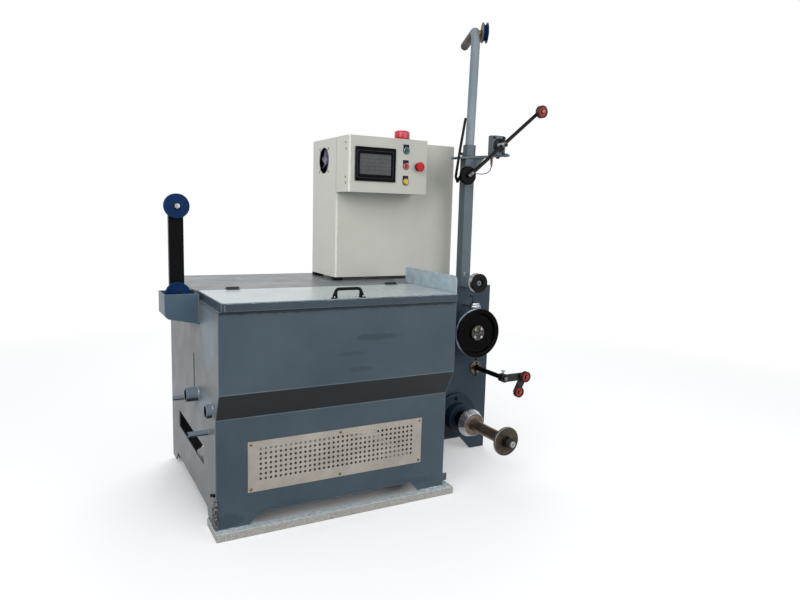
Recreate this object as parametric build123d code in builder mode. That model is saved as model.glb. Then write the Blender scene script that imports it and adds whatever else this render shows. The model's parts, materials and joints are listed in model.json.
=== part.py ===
from build123d import *
import math
import os

# A wet wire drawing machine: a sheet steel tank on low rails, with its payoff pulleys
# on the left, the control cabinet on top and the take-up unit on the right.
# Origin: on the floor, under the middle of the front rail. +X right, +Y back, +Z up.

# Sheet and plate
wall = 5.0
cover_sheet = 4.0
thin_sheet = 2.0
seat_gap = 0.3
running_gap = 0.3

# Rails under the tank: the front one has a short return under each side wall
rail_height = 30.0
rail_depth = 150.0
rail_bar = 35.0
rail_return = 40.0
rail_wall = 4.0
rear_rail_height = 16.0
rear_rail_wall = 3.0
rear_rail_in = 20.0
rail_set_back = 26.0
rail_over_left = 6.0
rail_over_right = 35.0

# Tank
tank_width = 950.0
tank_depth = 930.0
tank_height = 800.0
band_top = 540.0
band_bottom = 437.0
band_set_back = 55.0
rim_width = 40.0
front_foot = 120.0
front_arch = 41.0
rear_arch = 55.0
front_arch_slope = 41.0
side_front_foot = 186.0
side_rear_foot = 84.0
side_arch = 34.0
side_front_slope = 14.0
side_rear_slope = 40.0
lug_width = 22.0
lug_height = 32.0
lug_rise = 19.0
lug_in = 60.0

# Lid and the fixed top plate behind it
cover_height = 30.0
lid_depth = 379.0
lid_overhang = 14.0
lid_in_left = 10.0
lid_in_right = 6.0
lid_split = 6.0
lid_corner = 10.0
platform_reach = 340.0
platform_in = 560.0
handle_width = 124.0
handle_grip = 92.0
handle_rise = 34.0
handle_bar = 10.0
handle_foot = 8.0
handle_bend = 6.0
handle_in = 16.0
hinge_length = 50.0
hinge_radius = 5.0
hinge_pin = 2.5
hinge_leaf = 22.0
hinge_leaf_thickness = 2.0
hinge_knuckle_gap = 0.5
hinge_back_gap = 1.0
hinge_web = 2.0
hinge_in_left = 143.0
hinge_in_right = 109.0

# Perforated plate over the vent in the lower front panel
grille_width = 722.0
grille_height = 190.0
grille_sill = 154.0
grille_margin = 16.0
grille_pitch = 19.0
grille_hole = 10.0
grille_columns = 34
grille_rows = 7
grille_raise = 8.0

# Left wall: inspection opening with its flat bar, slot and pipe stubs
window_in = 254.0
window_length = 503.0
window_sill = 205.0
window_height = 75.0
brace_width = 32.0
brace_reach = 130.0
slot_width = 8.0
slot_length = 138.0
slot_in = 406.0
slot_sill = 470.0
drain_radius = 27.0
drain_wall = 4.0
drain_length = 46.0
drain_in = 348.0
drain_rise = 460.0
overflow_radius = 25.0
overflow_length = 23.0
overflow_in = 107.0
feed_radius = 10.0
feed_wall = 2.5
feed_length = 72.0
feed_in = 163.0
feed_rise = 364.0
return_length = 57.0
return_in = 560.0
return_rise = 391.0

# Splash guard on the right wall
guard_height = 70.0
guard_lap = 60.0
guard_length = 425.0
guard_in = 5.0
guard_corner = 12.0

# Payoff tray, post and pulleys
tray_reach = 123.0
tray_depth = 136.0
tray_in = 298.0
tray_wall_height = 115.0
tray_outer_height = 80.0
tray_chamfer = 12.0
tray_top_in = 4.0
post_width = 54.0
post_depth = 25.0
post_wall = 4.0
post_in = 59.0
post_foot_rise = 29.0
pulley_radius = 46.0
pulley_groove_radius = 33.0
pulley_thickness = 24.0
pulley_lip = 3.0
payoff_low_drop = 12.0
payoff_spacing = 333.0
axle_radius = 6.0
axle_head = 9.0
axle_head_height = 6.0

# Take-up unit
takeup_width = 492.0
takeup_in = 448.0
takeup_plate_thickness = 10.0
takeup_clearance = 66.0
takeup_foot = 82.0
takeup_slope = 61.0
takeup_arch = 60.0
hatch_width = 52.0
hatch_height = 48.0
hatch_depth = 8.0
hatch_in = 226.0
hatch_sill = 312.0

# Mast, its bracket and the crook
mast_size = 50.0
mast_wall = 3.0
mast_in = 344.0
mast_height = 608.0
bracket_thickness = 10.0
bracket_rise = 5.4
bracket_depth = 64.0
bracket_left = 73.0
bracket_arm = 224.0
bracket_arm_depth = 34.0
gusset_width = 60.0
gusset_height = 50.0
gusset_thickness = 8.0
sleeve_radius = 30.0
sleeve_height = 56.0
crook_in = 7.0
crook_lean = 1.25
crook_radius = 21.0
crook_wall = 3.2
crook_height = 580.0
crook_bend = 48.0
crook_boss = 9.0
crook_leg = 310.0
crook_turn = 24.0
top_pulley_out = 40.0
top_pulley_drop = 12.0
hook_width = 12.0
hook_thickness = 6.0
hook_bends = [(45, 166), (68, 30), (76, -24), (87, -100), (76, -123), (64, -100)]

# Dancer
dancer_out = 147.0
dancer_rise = 58.0
dancer_plate = 76.0
dancer_plate_height = 92.0
dancer_plate_thickness = 12.0
dancer_plate_chamfer = 8.0
dancer_block_depth = 22.0
dancer_ring = 33.0
dancer_ring_depth = 12.0
dancer_shaft_radius = 11.0
dancer_shaft_out = 69.0
dancer_rod_radius = 9.0
dancer_rod_out = 45.0
dancer_angle = 39.5
dancer_upper = 267.0
dancer_lower = 246.0
dancer_weight_in = 8.0
dancer_roller_radius = 30.0
dancer_roller_thickness = 20.0
roller_lip_share = 0.2
weight_radius = 43.0
weight_thickness = 16.0
roller_gap = 2.0
roller_bore = 6.0
sensor_radius = 6.0
sensor_length = 34.0
sensor_nut = 3.0
sensor_nut_height = 5.0
sensor_out = 129.0

# Guide pulley
guide_arm_width = 56.0
guide_arm_height = 50.0
guide_arm_length = 80.0
guide_pulley_radius = 45.0
guide_groove_radius = 38.0
guide_thickness = 34.0
guide_gap = 5.0
guide_axle = 8.0
guide_axle_head = 12.0
guide_back_lip = 6.0
guide_front_lip = 8.0
guide_bevel = 4.0
guide_recess_radius = 20.0
guide_recess = 11.0
guide_recess_taper = 3.0

# Capstan
capstan_drop = 212.0
capstan_radius = 117.0
capstan_groove = 106.0
capstan_lip = 5.0
capstan_thickness = 25.0
capstan_rim_inner = 98.0
capstan_web = 8.0
capstan_web_taper = 6.0
capstan_groove_taper = 3.0
capstan_out = 104.0
capstan_hub_radius = 36.0
capstan_hub_thickness = 10.0
capstan_hub_bore = 6.0
capstan_shaft = 20.0
capstan_housing = 50.0
capstan_housing_length = 60.0
wire_sensor_width = 52.0
wire_sensor_height = 26.0
wire_sensor_depth = 26.0
wire_sensor_gap = 6.0
wire_sensor_drop = 4.0
wire_sensor_stem = 12.0
lead_radius = 2.0
sensor_lead_steps = [
    (0, 0, 0), (0, 0, -15), (-9, 2, -31), (-26, 4, -43), (-50, 6, -47), (-78, 9, -46),
]
wire_lead_steps = [
    (0, 0, 0), (0, 0, 14), (7, 10, 23), (20, 27, 26), (34, 46, 25), (46, 66, 22),
]

# Traverse
traverse_in_right = 68.0
traverse_drop = 412.0
traverse_flange_radius = 32.0
traverse_flange_thickness = 12.0
traverse_boss_radius = 20.0
traverse_rod_radius = 11.5
traverse_rod_out = 250.0
traverse_rod_back = 190.0
collar_radius = 20.5
collar_length = 30.0
collar_back = 8.0
traverse_arm = 112.0
traverse_arm_height = 36.0
traverse_arm_thickness = 8.0
traverse_leg_x = 36.0
traverse_leg_z = 70.0
traverse_leg_width = 38.0
traverse_roller_radius = 26.0
traverse_roller_thickness = 16.0
traverse_roller_bore = 5.0
traverse_roller_head = 7.5

# Take-up spindle
spindle_in = 308.0
spindle_height = 188.0
spindle_flange_radius = 112.0
spindle_flange_thickness = 18.0
spindle_housing_radius = 70.0
spindle_housing_length = 50.0
spindle_neck = 40.0
spindle_neck_length = 65.0
cone_back_radius = 66.0
cone_front_radius = 53.0
cone_length = 42.0
cone_flat = 8.0
spindle_shaft = 26.0
spindle_nose = 15.0
spool_space = 236.0
spool_disc_radius = 65.0
spool_disc_thickness = 12.0
spool_nut_size = 46.0
spool_nut_length = 28.0
spindle_end = 17.0
spindle_centre_hole = 3.0
spindle_centre_depth = 8.0
spindle_nose_chamfer = 2.0

# Control cabinet
cabinet_over_right = 330.0
cabinet_width = 621.0
cabinet_in = 571.0
cabinet_depth = 284.0
cabinet_height = 625.0
cabinet_foot = 36.0
cabinet_foot_height = 14.0
panel_box_width = 389.0
panel_box_depth = 134.0
panel_box_height = 241.0
fan_in = 146.0
fan_drop = 96.0
fan_opening = 59.0
fan_frame_size = 120.0
fan_frame_depth = 38.0
fan_ring = 57.0
fan_hub = 20.0
fan_blades = 7
fan_blade_tip = 53.0
fan_blade_thickness = 2.0
fan_blade_depth = 20.0
fan_blade_pitch = 35.0
fan_axle = 3.0
fan_spoke = 8.0
fan_set_back = 4.0
fan_blade_root = 2.0
screen_in = 30.0
screen_width = 197.0
screen_height = 147.0
screen_drop = 46.0
screen_proud = 6.0
screen_depth = 34.0
screen_rim = 8.0
button_in = 281.0
button_drop = 50.0
button_pitch = 68.5
button_collar = 14.5
button_collar_proud = 5.0
button_radius = 11.0
button_proud = 8.0
button_travel = 3.0
button_edge = 1.0
switch_body = 24.0
switch_body_wall = 1.5
stop_in = 345.0
stop_radius = 21.0
stop_proud = 26.0
stop_cap = 12.0
stop_under = 2.0
stop_rim = 3.0
stop_shoulder = 5.0
stop_dome = 6.0
stop_travel = 5.0
beacon_radius = 36.0
beacon_height = 44.0
beacon_in = 291.0
beacon_back = 63.0
beacon_base = 10.0
beacon_step = 2.0
beacon_taper = 3.0
beacon_crown = 10.0

# Places worked out from the sizes above
left = -tank_width / 2
right = tank_width / 2
front = -(rail_set_back + rail_bar / 2)
back = front + tank_depth
base = rail_height
rear_base = rear_rail_height
top = base + tank_height
lower_front = front + band_set_back
hinge_y = front - lid_overhang + lid_depth + lid_split / 2
hinge_z = top + cover_height + hinge_radius
tray_front = front + tray_in
tray_back = tray_front + tray_depth
tray_top = top + cover_height - tray_top_in
tray_low = tray_top - tray_wall_height
post_foot = tray_low + post_foot_rise
payoff_low = tray_top - payoff_low_drop
payoff_high = payoff_low + payoff_spacing
post_x = left - post_in
post_front = tray_back - cover_sheet - post_depth
payoff_y = post_front - roller_gap - pulley_thickness / 2
takeup_front = front + takeup_in
takeup_right = right + takeup_width
mast_x = right + mast_in
mast_y = takeup_front + mast_size / 2
mast_top = top + mast_height
bracket_top = mast_top + bracket_thickness
bracket_front = takeup_front - gusset_thickness
dancer_x = mast_x + dancer_out
dancer_z = bracket_top + dancer_rise
dancer_rod_y = bracket_front - dancer_rod_out
capstan_z = top - capstan_drop
capstan_front = takeup_front - capstan_out - capstan_thickness
capstan_back = capstan_front + capstan_thickness
guide_z = top + guide_arm_height / 2
guide_back = takeup_front - guide_arm_length - guide_gap
traverse_x = takeup_right - traverse_in_right
traverse_height = top - traverse_drop
traverse_rod_end = takeup_front - traverse_rod_out
spindle_x = right + spindle_in
cone_front = (
    takeup_front - spindle_flange_thickness - spindle_housing_length
    - spindle_neck_length - cone_length
)
disc_back = cone_front - spool_space
disc_front = disc_back - spool_disc_thickness
nut_front = disc_front - spool_nut_length
cabinet_right = right + cabinet_over_right
cabinet_x = cabinet_right - cabinet_width
cabinet_front = front + cabinet_in
cabinet_back = cabinet_front + cabinet_depth
cabinet_base = top + cover_height + cabinet_foot_height
cabinet_top = cabinet_base + cabinet_height
panel_front = cabinet_front - panel_box_depth
panel_base = cabinet_top - panel_box_height
fan_y = cabinet_front + fan_in
fan_z = cabinet_top - fan_drop
button_x = cabinet_x + button_in
stop_x = cabinet_x + stop_in
button_heights = [cabinet_top - button_drop - row * button_pitch for row in range(3)]


def finish(piece, name):
    """Label a finished piece and write it under that name."""
    piece.part.label = name
    export_step(piece.part, f"parts/{name}.step")


def facing_front(y):
    """The upright plane at this depth, drawn in X and Z, seen from the front."""
    return Plane.XZ.offset(-y)


def facing_left(x):
    """The upright plane across the machine at x, drawn in Y and Z."""
    return Plane.YZ.offset(x)


def add_block(low, high, mode=Mode.ADD):
    """Add or cut a rectangular block between two corners, in the part being built."""
    with BuildSketch(Plane.XY.offset(low[2])) as footprint:
        with Locations(((low[0] + high[0]) / 2, (low[1] + high[1]) / 2)):
            Rectangle(high[0] - low[0], high[1] - low[1])
    extrude(footprint.sketch, amount=high[2] - low[2], mode=mode)


def turning_plane(centre, direction):
    """A plane through an axis: its X is the radius and its Y runs along the axis."""
    along = Vector(*direction).normalized()
    upright = Vector(0, 0, 1) if abs(along.Z) < 0.9 else Vector(1, 0, 0)
    outward = (upright - along * upright.dot(along)).normalized()
    return Plane(origin=centre, x_dir=outward, z_dir=outward.cross(along))


def add_turned(centre, direction, profile, mode=Mode.ADD):
    """Turn a profile of (radius, distance along the axis) points about an axis."""
    with BuildSketch(turning_plane(centre, direction)) as section:
        with BuildLine():
            Polyline(*profile, close=True)
        make_face()
    revolve(section.sketch, axis=Axis(centre, direction), mode=mode)


def ring(inner, outer, start, end):
    """The profile of a plain ring or bush between two distances along its axis."""
    return [(inner, start), (outer, start), (outer, end), (inner, end)]


def grooved(bore, groove, rim, lip, thickness):
    """The profile of a pulley with a V groove between two lips."""
    half = thickness / 2
    return [
        (bore, -half), (rim, -half), (rim, lip - half), (groove, 0),
        (rim, half - lip), (rim, half), (bore, half),
    ]


def axle_profile(radius, head, seat, end):
    """An axle bolt from its seat to its end, with a round head past the end."""
    return [
        (0, seat), (radius, seat), (radius, end), (head, end),
        (head, end + axle_head_height), (0, end + axle_head_height),
    ]


def feet_profile(ends, lows, high, feet, arch, slopes):
    """A wall standing on two feet with an arch between, as (along, height) points."""
    start, end = ends
    return [
        (start, lows[0]), (start + feet[0], lows[0]), (start + feet[0] + slopes[0], arch),
        (end - feet[1] - slopes[1], arch), (end - feet[1], lows[1]), (end, lows[1]),
        (end, high), (start, high),
    ]


os.makedirs("parts", exist_ok=True)

# Front rail: a box section bar with returns; rear rail: a plain bar. Both are hollow
rail_left = left - rail_over_left
rail_right = right + rail_over_right
rail_front = -rail_bar / 2
with BuildPart() as base_rails:
    for skin, mode in ((0, Mode.ADD), (rail_wall, Mode.SUBTRACT)):
        low = skin
        high = rail_height - skin
        add_block(
            (rail_left + skin, rail_front + skin, low),
            (rail_right - skin, rail_front + rail_bar - skin, high), mode=mode,
        )
        for end_low, end_high in (
            (rail_left, rail_left + rail_return), (rail_right - rail_return, rail_right),
        ):
            add_block(
                (end_low + skin, rail_front + skin, low),
                (end_high - skin, rail_front + rail_depth, high), mode=mode,
            )
    for skin, mode in ((0, Mode.ADD), (rear_rail_wall, Mode.SUBTRACT)):
        add_block(
            (left + rear_rail_in, back - rail_bar + skin, skin),
            (right - rear_rail_in, back - skin, rear_rail_height - skin), mode=mode,
        )
finish(base_rails, "base_rails")

# Front wall: one bent plate with the undercut band, a rim turned in, and arched feet
with BuildPart() as tank_front_wall:
    with BuildSketch(facing_left(left)):
        with BuildLine():
            Polyline(
                (front, top), (front, band_top), (lower_front, band_bottom),
                (lower_front, base), (lower_front + wall, base),
                (lower_front + wall, band_bottom), (front + wall, band_top),
                (front + wall, top - wall), (front + rim_width, top - wall),
                (front + rim_width, top), close=True,
            )
        make_face()
    extrude(amount=tank_width)
    arch_edge = tank_width / 2 - front_foot
    with BuildSketch(facing_front(lower_front)):
        with BuildLine():
            Polyline(
                (-arch_edge, base), (-arch_edge + front_arch_slope, base + front_arch),
                (arch_edge - front_arch_slope, base + front_arch), (arch_edge, base),
                close=True,
            )
        make_face()
    extrude(amount=-wall, mode=Mode.SUBTRACT)
    add_block(
        (
            -grille_width / 2 + grille_margin, lower_front,
            grille_sill + grille_margin,
        ),
        (
            grille_width / 2 - grille_margin, lower_front + wall,
            grille_sill + grille_height - grille_margin,
        ),
        mode=Mode.SUBTRACT,
    )
    for side_x in (left, right - wall):
        add_block(
            (side_x, front + wall, top - wall), (side_x + wall, front + rim_width, top),
            mode=Mode.SUBTRACT,
        )
finish(tank_front_wall, "tank_front_wall")


def side_wall_outline():
    """The side wall's outline: arched feet, and a front edge behind the front wall."""
    edge = feet_profile(
        (lower_front + wall, back), (base, rear_base), top,
        (side_front_foot - band_set_back - wall, side_rear_foot), base + side_arch,
        (side_front_slope, side_rear_slope),
    )
    return edge[:-1] + [
        (front + wall, top), (front + wall, band_top), (lower_front + wall, band_bottom),
    ]


def add_side_rim(x_outer, x_inner):
    """The strip turned in along the top of a side wall, under the lid."""
    add_block(
        (min(x_outer, x_inner), front + rim_width, top - wall),
        (max(x_outer, x_inner), hinge_y, top),
    )


window_low = front + window_in
drain_bore = drain_radius - drain_wall
overflow_bore = overflow_radius - drain_wall
feed_bore = feed_radius - feed_wall
pipes = [
    (drain_in, drain_rise, drain_radius, drain_bore, drain_length),
    (overflow_in, drain_rise, overflow_radius, overflow_bore, overflow_length),
    (feed_in, feed_rise, feed_radius, feed_bore, feed_length),
    (return_in, return_rise, feed_radius, feed_bore, return_length),
]
with BuildPart() as tank_left_wall:
    with BuildSketch(facing_left(left)):
        with BuildLine():
            Polyline(*side_wall_outline(), close=True)
        make_face()
        with Locations((window_low + window_length / 2, window_sill + window_height / 2)):
            Rectangle(window_length, window_height, mode=Mode.SUBTRACT)
        with Locations((front + slot_in + slot_width / 2, slot_sill + slot_length / 2)):
            Rectangle(slot_width, slot_length, mode=Mode.SUBTRACT)
        for pipe_in, pipe_rise, _, bore, _ in pipes:
            with Locations((front + pipe_in, pipe_rise)):
                Circle(bore, mode=Mode.SUBTRACT)
    extrude(amount=wall)
    add_side_rim(left + wall, left + rim_width)
finish(tank_left_wall, "tank_left_wall")

# Flat bar welded inside the opening, across its lower front corner
brace_low = Vector(window_low + brace_reach, window_sill)
brace_high = Vector(window_low, window_sill + window_height - brace_width / 2)
brace_run = brace_high - brace_low
brace_middle = (brace_low + brace_high) / 2
with BuildPart() as opening_brace:
    with BuildSketch(facing_left(left + wall)):
        with Locations((brace_middle.X, brace_middle.Y)):
            SlotCenterToCenter(
                brace_run.length, brace_width,
                rotation=math.degrees(math.atan2(brace_run.Y, brace_run.X)),
            )
    extrude(amount=wall)
finish(opening_brace, "opening_brace")

# Right wall: plain, with a small lug beside its front foot
with BuildPart() as tank_right_wall:
    with BuildSketch(facing_left(right - wall)):
        with BuildLine():
            Polyline(*side_wall_outline(), close=True)
        make_face()
    extrude(amount=wall)
    add_side_rim(right - rim_width, right - wall)
    add_block(
        (right, front + lug_in, base + lug_rise),
        (right + lug_width, front + lug_in + wall, base + lug_rise + lug_height),
    )
finish(tank_right_wall, "tank_right_wall")

with BuildPart() as tank_rear_wall:
    with BuildSketch(facing_front(back - wall)):
        with BuildLine():
            Polyline(
                *feet_profile(
                    (left + wall, right - wall), (rear_base, rear_base), top,
                    (front_foot - wall, front_foot - wall), rear_base + rear_arch,
                    (front_arch_slope, front_arch_slope),
                ),
                close=True,
            )
        make_face()
    extrude(amount=-wall)
finish(tank_rear_wall, "tank_rear_wall")

# The trough's floor, turned up at the back into the wall that carries the lid's hinges
with BuildPart() as tank_trough:
    with BuildSketch(facing_left(left + wall)):
        with BuildLine():
            Polyline(
                (lower_front + wall, band_bottom - wall), (back - wall, band_bottom - wall),
                (back - wall, band_bottom), (hinge_y + wall, band_bottom),
                (hinge_y + wall, top), (hinge_y, top),
                (hinge_y, band_bottom), (lower_front + wall, band_bottom),
                close=True,
            )
        make_face()
    extrude(amount=tank_width - 2 * wall)
finish(tank_trough, "tank_trough")

# Four pipe stubs, each with its bore meeting a hole in the left wall
with BuildPart() as pipe_stubs:
    for pipe_in, pipe_rise, outer, bore, length in pipes:
        add_turned((left, front + pipe_in, pipe_rise), (-1, 0, 0), ring(bore, outer, 0, length))
finish(pipe_stubs, "pipe_stubs")


def add_cover(outline, underside, height):
    """A folded sheet cover: a flat top with its edges turned down, open underneath."""
    with BuildSketch(Plane.XY.offset(underside)) as footprint:
        with BuildLine():
            Polyline(*outline, close=True)
        make_face()
    extrude(footprint.sketch, amount=height)
    with BuildSketch(Plane.XY.offset(underside)) as hollow:
        with BuildLine():
            Polyline(*outline, close=True)
        make_face()
        offset(amount=-cover_sheet, kind=Kind.INTERSECTION, mode=Mode.REPLACE)
    extrude(hollow.sketch, amount=height - cover_sheet, mode=Mode.SUBTRACT)


# Fixed top plate behind the lid, carried on over the take-up unit under the cabinet
top_plate_front = hinge_y + lid_split / 2
with BuildPart() as top_plate:
    add_cover(
        [
            (left, top_plate_front), (right, top_plate_front), (right, front + platform_in),
            (right + platform_reach, front + platform_in), (right + platform_reach, back),
            (left, back),
        ],
        top, cover_height,
    )
finish(top_plate, "top_plate")

# Lid, hinged along its back edge
lid_left = left + lid_in_left
lid_right = right - lid_in_right
lid_front = front - lid_overhang
lid_back = lid_front + lid_depth
lid_top = top + cover_height
with BuildPart() as lid:
    add_cover(
        [
            (lid_left + lid_corner, lid_front), (lid_right, lid_front), (lid_right, lid_back),
            (lid_left, lid_back), (lid_left, lid_front + lid_corner),
        ],
        top + seat_gap, cover_height - seat_gap,
    )
finish(lid, "lid")

# Bow handle near the lid's front edge
handle_y = lid_front + handle_in
handle_foot_x = (handle_width - handle_bar) / 2
with BuildPart() as lid_handle:
    with BuildLine(Plane(origin=(0, handle_y, lid_top), x_dir=(1, 0, 0), z_dir=(0, -1, 0))):
        FilletPolyline(
            (-handle_foot_x, 0), (-handle_foot_x, handle_foot),
            (-handle_grip / 2, handle_rise), (handle_grip / 2, handle_rise),
            (handle_foot_x, handle_foot), (handle_foot_x, 0),
            radius=handle_bend,
        )
    with BuildSketch(Plane(origin=(-handle_foot_x, handle_y, lid_top), z_dir=(0, 0, 1))):
        Circle(handle_bar / 2)
    sweep()
finish(lid_handle, "lid_handle")

# Two small hinges: the outer knuckles and the pin are fixed, the middle one is the lid's
knuckle = hinge_length / 3
hinge_centres = (left + hinge_in_left, right - hinge_in_right)
hinge_bore = hinge_pin + running_gap / 2
with BuildPart() as hinge_fixed_leaves:
    for hinge_x in hinge_centres:
        for side in (-1, 1):
            start = side * hinge_length / 2
            end = side * knuckle / 2
            add_turned((hinge_x, hinge_y, hinge_z), (1, 0, 0), [
                (0, min(start, end)), (hinge_radius, min(start, end)),
                (hinge_radius, max(start, end)), (0, max(start, end)),
            ])
            low = hinge_x + min(start, end)
            add_block(
                (low, hinge_y, lid_top),
                (low + abs(start - end), hinge_y + hinge_radius, hinge_z),
            )
        add_turned((hinge_x, hinge_y, hinge_z), (1, 0, 0), [
            (0, -knuckle), (hinge_pin, -knuckle), (hinge_pin, knuckle), (0, knuckle),
        ])
        add_block(
            (hinge_x - hinge_length / 2, top_plate_front + hinge_back_gap, lid_top),
            (hinge_x + hinge_length / 2, hinge_y + hinge_leaf, lid_top + hinge_leaf_thickness),
        )
finish(hinge_fixed_leaves, "hinge_fixed_leaves")

half_knuckle = knuckle / 2 - hinge_knuckle_gap
with BuildPart() as hinge_lid_leaves:
    for hinge_x in hinge_centres:
        add_turned(
            (hinge_x, hinge_y, hinge_z), (1, 0, 0),
            ring(hinge_bore, hinge_radius, -half_knuckle, half_knuckle),
        )
        add_block(
            (hinge_x - half_knuckle, hinge_y - hinge_radius - hinge_web, lid_top),
            (hinge_x + half_knuckle, hinge_y - hinge_bore - hinge_knuckle_gap, hinge_z - hinge_back_gap),
        )
        add_block(
            (hinge_x - hinge_length / 2, hinge_y - hinge_leaf, lid_top),
            (
                hinge_x + hinge_length / 2, hinge_y - hinge_radius - hinge_knuckle_gap,
                lid_top + hinge_leaf_thickness,
            ),
        )
finish(hinge_lid_leaves, "hinge_lid_leaves")

# Perforated stainless plate screwed over the vent, each hole a small polygon
with BuildPart() as grille_plate:
    with BuildSketch(facing_front(lower_front - thin_sheet)):
        with Locations((0, grille_sill + grille_height / 2)):
            Rectangle(grille_width, grille_height)
        with Locations((0, grille_sill + grille_height / 2 + grille_raise)):
            with GridLocations(grille_pitch, grille_pitch, grille_columns, grille_rows):
                RegularPolygon(grille_hole / 2, 6, mode=Mode.SUBTRACT)
    extrude(amount=-thin_sheet)
finish(grille_plate, "grille_plate")

# Splash guard: an upright sheet on the right wall's outer face, past the lid
with BuildPart() as splash_guard:
    with BuildSketch(facing_left(right)):
        with BuildLine():
            Polyline(
                (front + guard_in, top - guard_lap),
                (front + guard_in, lid_top + guard_height - guard_corner),
                (front + guard_in + guard_corner, lid_top + guard_height),
                (front + guard_in + guard_length, lid_top + guard_height),
                (front + guard_in + guard_length, top - guard_lap),
                close=True,
            )
        make_face()
    extrude(amount=thin_sheet)
finish(splash_guard, "splash_guard")

# Payoff tray: an open box on the left wall, its floor sloping down towards the wall
tray_side_low = tray_top - tray_outer_height
tray_left = left - tray_reach


def tray_section(shrink, rim):
    """The tray's section in X and Z, drawn in by the sheet, up to a given rim."""
    return [
        (left, tray_low + shrink),
        (tray_left + tray_chamfer + shrink / 2, tray_side_low - tray_chamfer + shrink),
        (tray_left + shrink, tray_side_low + shrink / 2),
        (tray_left + shrink, rim), (left, rim),
    ]


with BuildPart() as payoff_tray:
    with BuildSketch(facing_front(tray_front)):
        with BuildLine():
            Polyline(*tray_section(0, tray_top), close=True)
        make_face()
    extrude(amount=-tray_depth)
    with BuildSketch(facing_front(tray_front + cover_sheet)):
        with BuildLine():
            Polyline(*tray_section(cover_sheet, tray_top), close=True)
        make_face()
    extrude(amount=-(tray_depth - 2 * cover_sheet), mode=Mode.SUBTRACT)
finish(payoff_tray, "payoff_tray")

# Payoff post: a channel against the tray's back sheet, with the two pulley axles
with BuildPart() as payoff_post:
    with BuildSketch(facing_front(post_front)):
        with Locations((post_x, (post_foot + payoff_high) / 2)):
            Rectangle(post_width, payoff_high - post_foot)
        with Locations((post_x, payoff_high)):
            Circle(post_width / 2)
    extrude(amount=-post_depth)
    with BuildSketch(facing_front(post_front + post_wall)):
        with Locations((post_x, (post_foot + payoff_high) / 2)):
            Rectangle(post_width - 2 * post_wall, payoff_high - post_foot)
        with Locations((post_x, payoff_high)):
            Circle(post_width / 2 - post_wall)
    extrude(amount=-(post_depth - post_wall), mode=Mode.SUBTRACT)
    axle_end = post_front - payoff_y + pulley_thickness / 2 + running_gap
    for axle_z in (payoff_low, payoff_high):
        add_turned(
            (post_x, post_front + post_wall, axle_z), (0, -1, 0),
            axle_profile(axle_radius, axle_head, 0, axle_end + post_wall),
        )
finish(payoff_post, "payoff_post")


def make_pulley(centre, direction, name):
    """A V groove pulley on its axle, as used at the payoff and on the crook."""
    with BuildPart() as pulley:
        add_turned(centre, direction, grooved(
            axle_radius + running_gap, pulley_groove_radius, pulley_radius,
            pulley_lip, pulley_thickness,
        ))
    finish(pulley, name)


make_pulley((post_x, payoff_y, payoff_low), (0, 1, 0), "payoff_pulley_low")
make_pulley((post_x, payoff_y, payoff_high), (0, 1, 0), "payoff_pulley_high")

# Take-up unit: a thick front plate with one foot, and its folded sheet housing
takeup_base = takeup_clearance


def takeup_outline(x_left, x_right):
    """The take-up's front and rear outline: raised on the left, one foot at the right."""
    return [
        (x_left, takeup_base), (x_right - takeup_foot - takeup_slope, takeup_base),
        (x_right - takeup_foot, 0), (x_right, 0), (x_right, top), (x_left, top),
    ]


spindle_bore = spindle_neck + running_gap
with BuildPart() as takeup_plate:
    with BuildSketch(facing_front(takeup_front)):
        with BuildLine():
            Polyline(*takeup_outline(right, takeup_right), close=True)
        make_face()
        with Locations((spindle_x, spindle_height)):
            Circle(spindle_bore, mode=Mode.SUBTRACT)
        with Locations((mast_x, capstan_z)):
            Circle(capstan_shaft + running_gap, mode=Mode.SUBTRACT)
        with Locations((traverse_x, traverse_height)):
            Circle(traverse_rod_radius + running_gap, mode=Mode.SUBTRACT)
    extrude(amount=-takeup_plate_thickness)
    add_block(
        (right + hatch_in, takeup_front - hatch_depth, hatch_sill),
        (right + hatch_in + hatch_width, takeup_front, hatch_sill + hatch_height),
    )
finish(takeup_plate, "takeup_plate")

housing_front = takeup_front + takeup_plate_thickness
with BuildPart() as takeup_housing:
    with BuildSketch(facing_left(takeup_right - wall)):
        with BuildLine():
            Polyline(
                *feet_profile(
                    (housing_front, back), (0, 0), top, (takeup_foot, takeup_foot),
                    takeup_arch, (takeup_slope, takeup_slope),
                ),
                close=True,
            )
        make_face()
    extrude(amount=wall)
    with BuildSketch(facing_front(back - wall)):
        with BuildLine():
            Polyline(*takeup_outline(right, takeup_right), close=True)
        make_face()
    extrude(amount=-wall)
    add_block((right, housing_front, top - wall), (takeup_right, back, top))
finish(takeup_housing, "takeup_housing")

# Mast: a square tube on the take-up housing, its top cut to the bracket's slope
rise = math.tan(math.radians(bracket_rise))


def bracket_under(x):
    """The height of the bracket's underside at x: it climbs to the right."""
    return mast_top + (x - mast_x) * rise


mast_left = mast_x - mast_size / 2
mast_right = mast_x + mast_size / 2
with BuildPart() as mast:
    for skin, mode in ((0, Mode.ADD), (mast_wall, Mode.SUBTRACT)):
        with BuildSketch(facing_front(takeup_front + skin)) as face:
            with BuildLine():
                Polyline(
                    (mast_left + skin, top), (mast_right - skin, top),
                    (mast_right - skin, bracket_under(mast_right - skin)),
                    (mast_left + skin, bracket_under(mast_left + skin)), close=True,
                )
            make_face()
        extrude(face.sketch, amount=-(mast_size - 2 * skin), mode=mode)
finish(mast, "mast")

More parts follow.
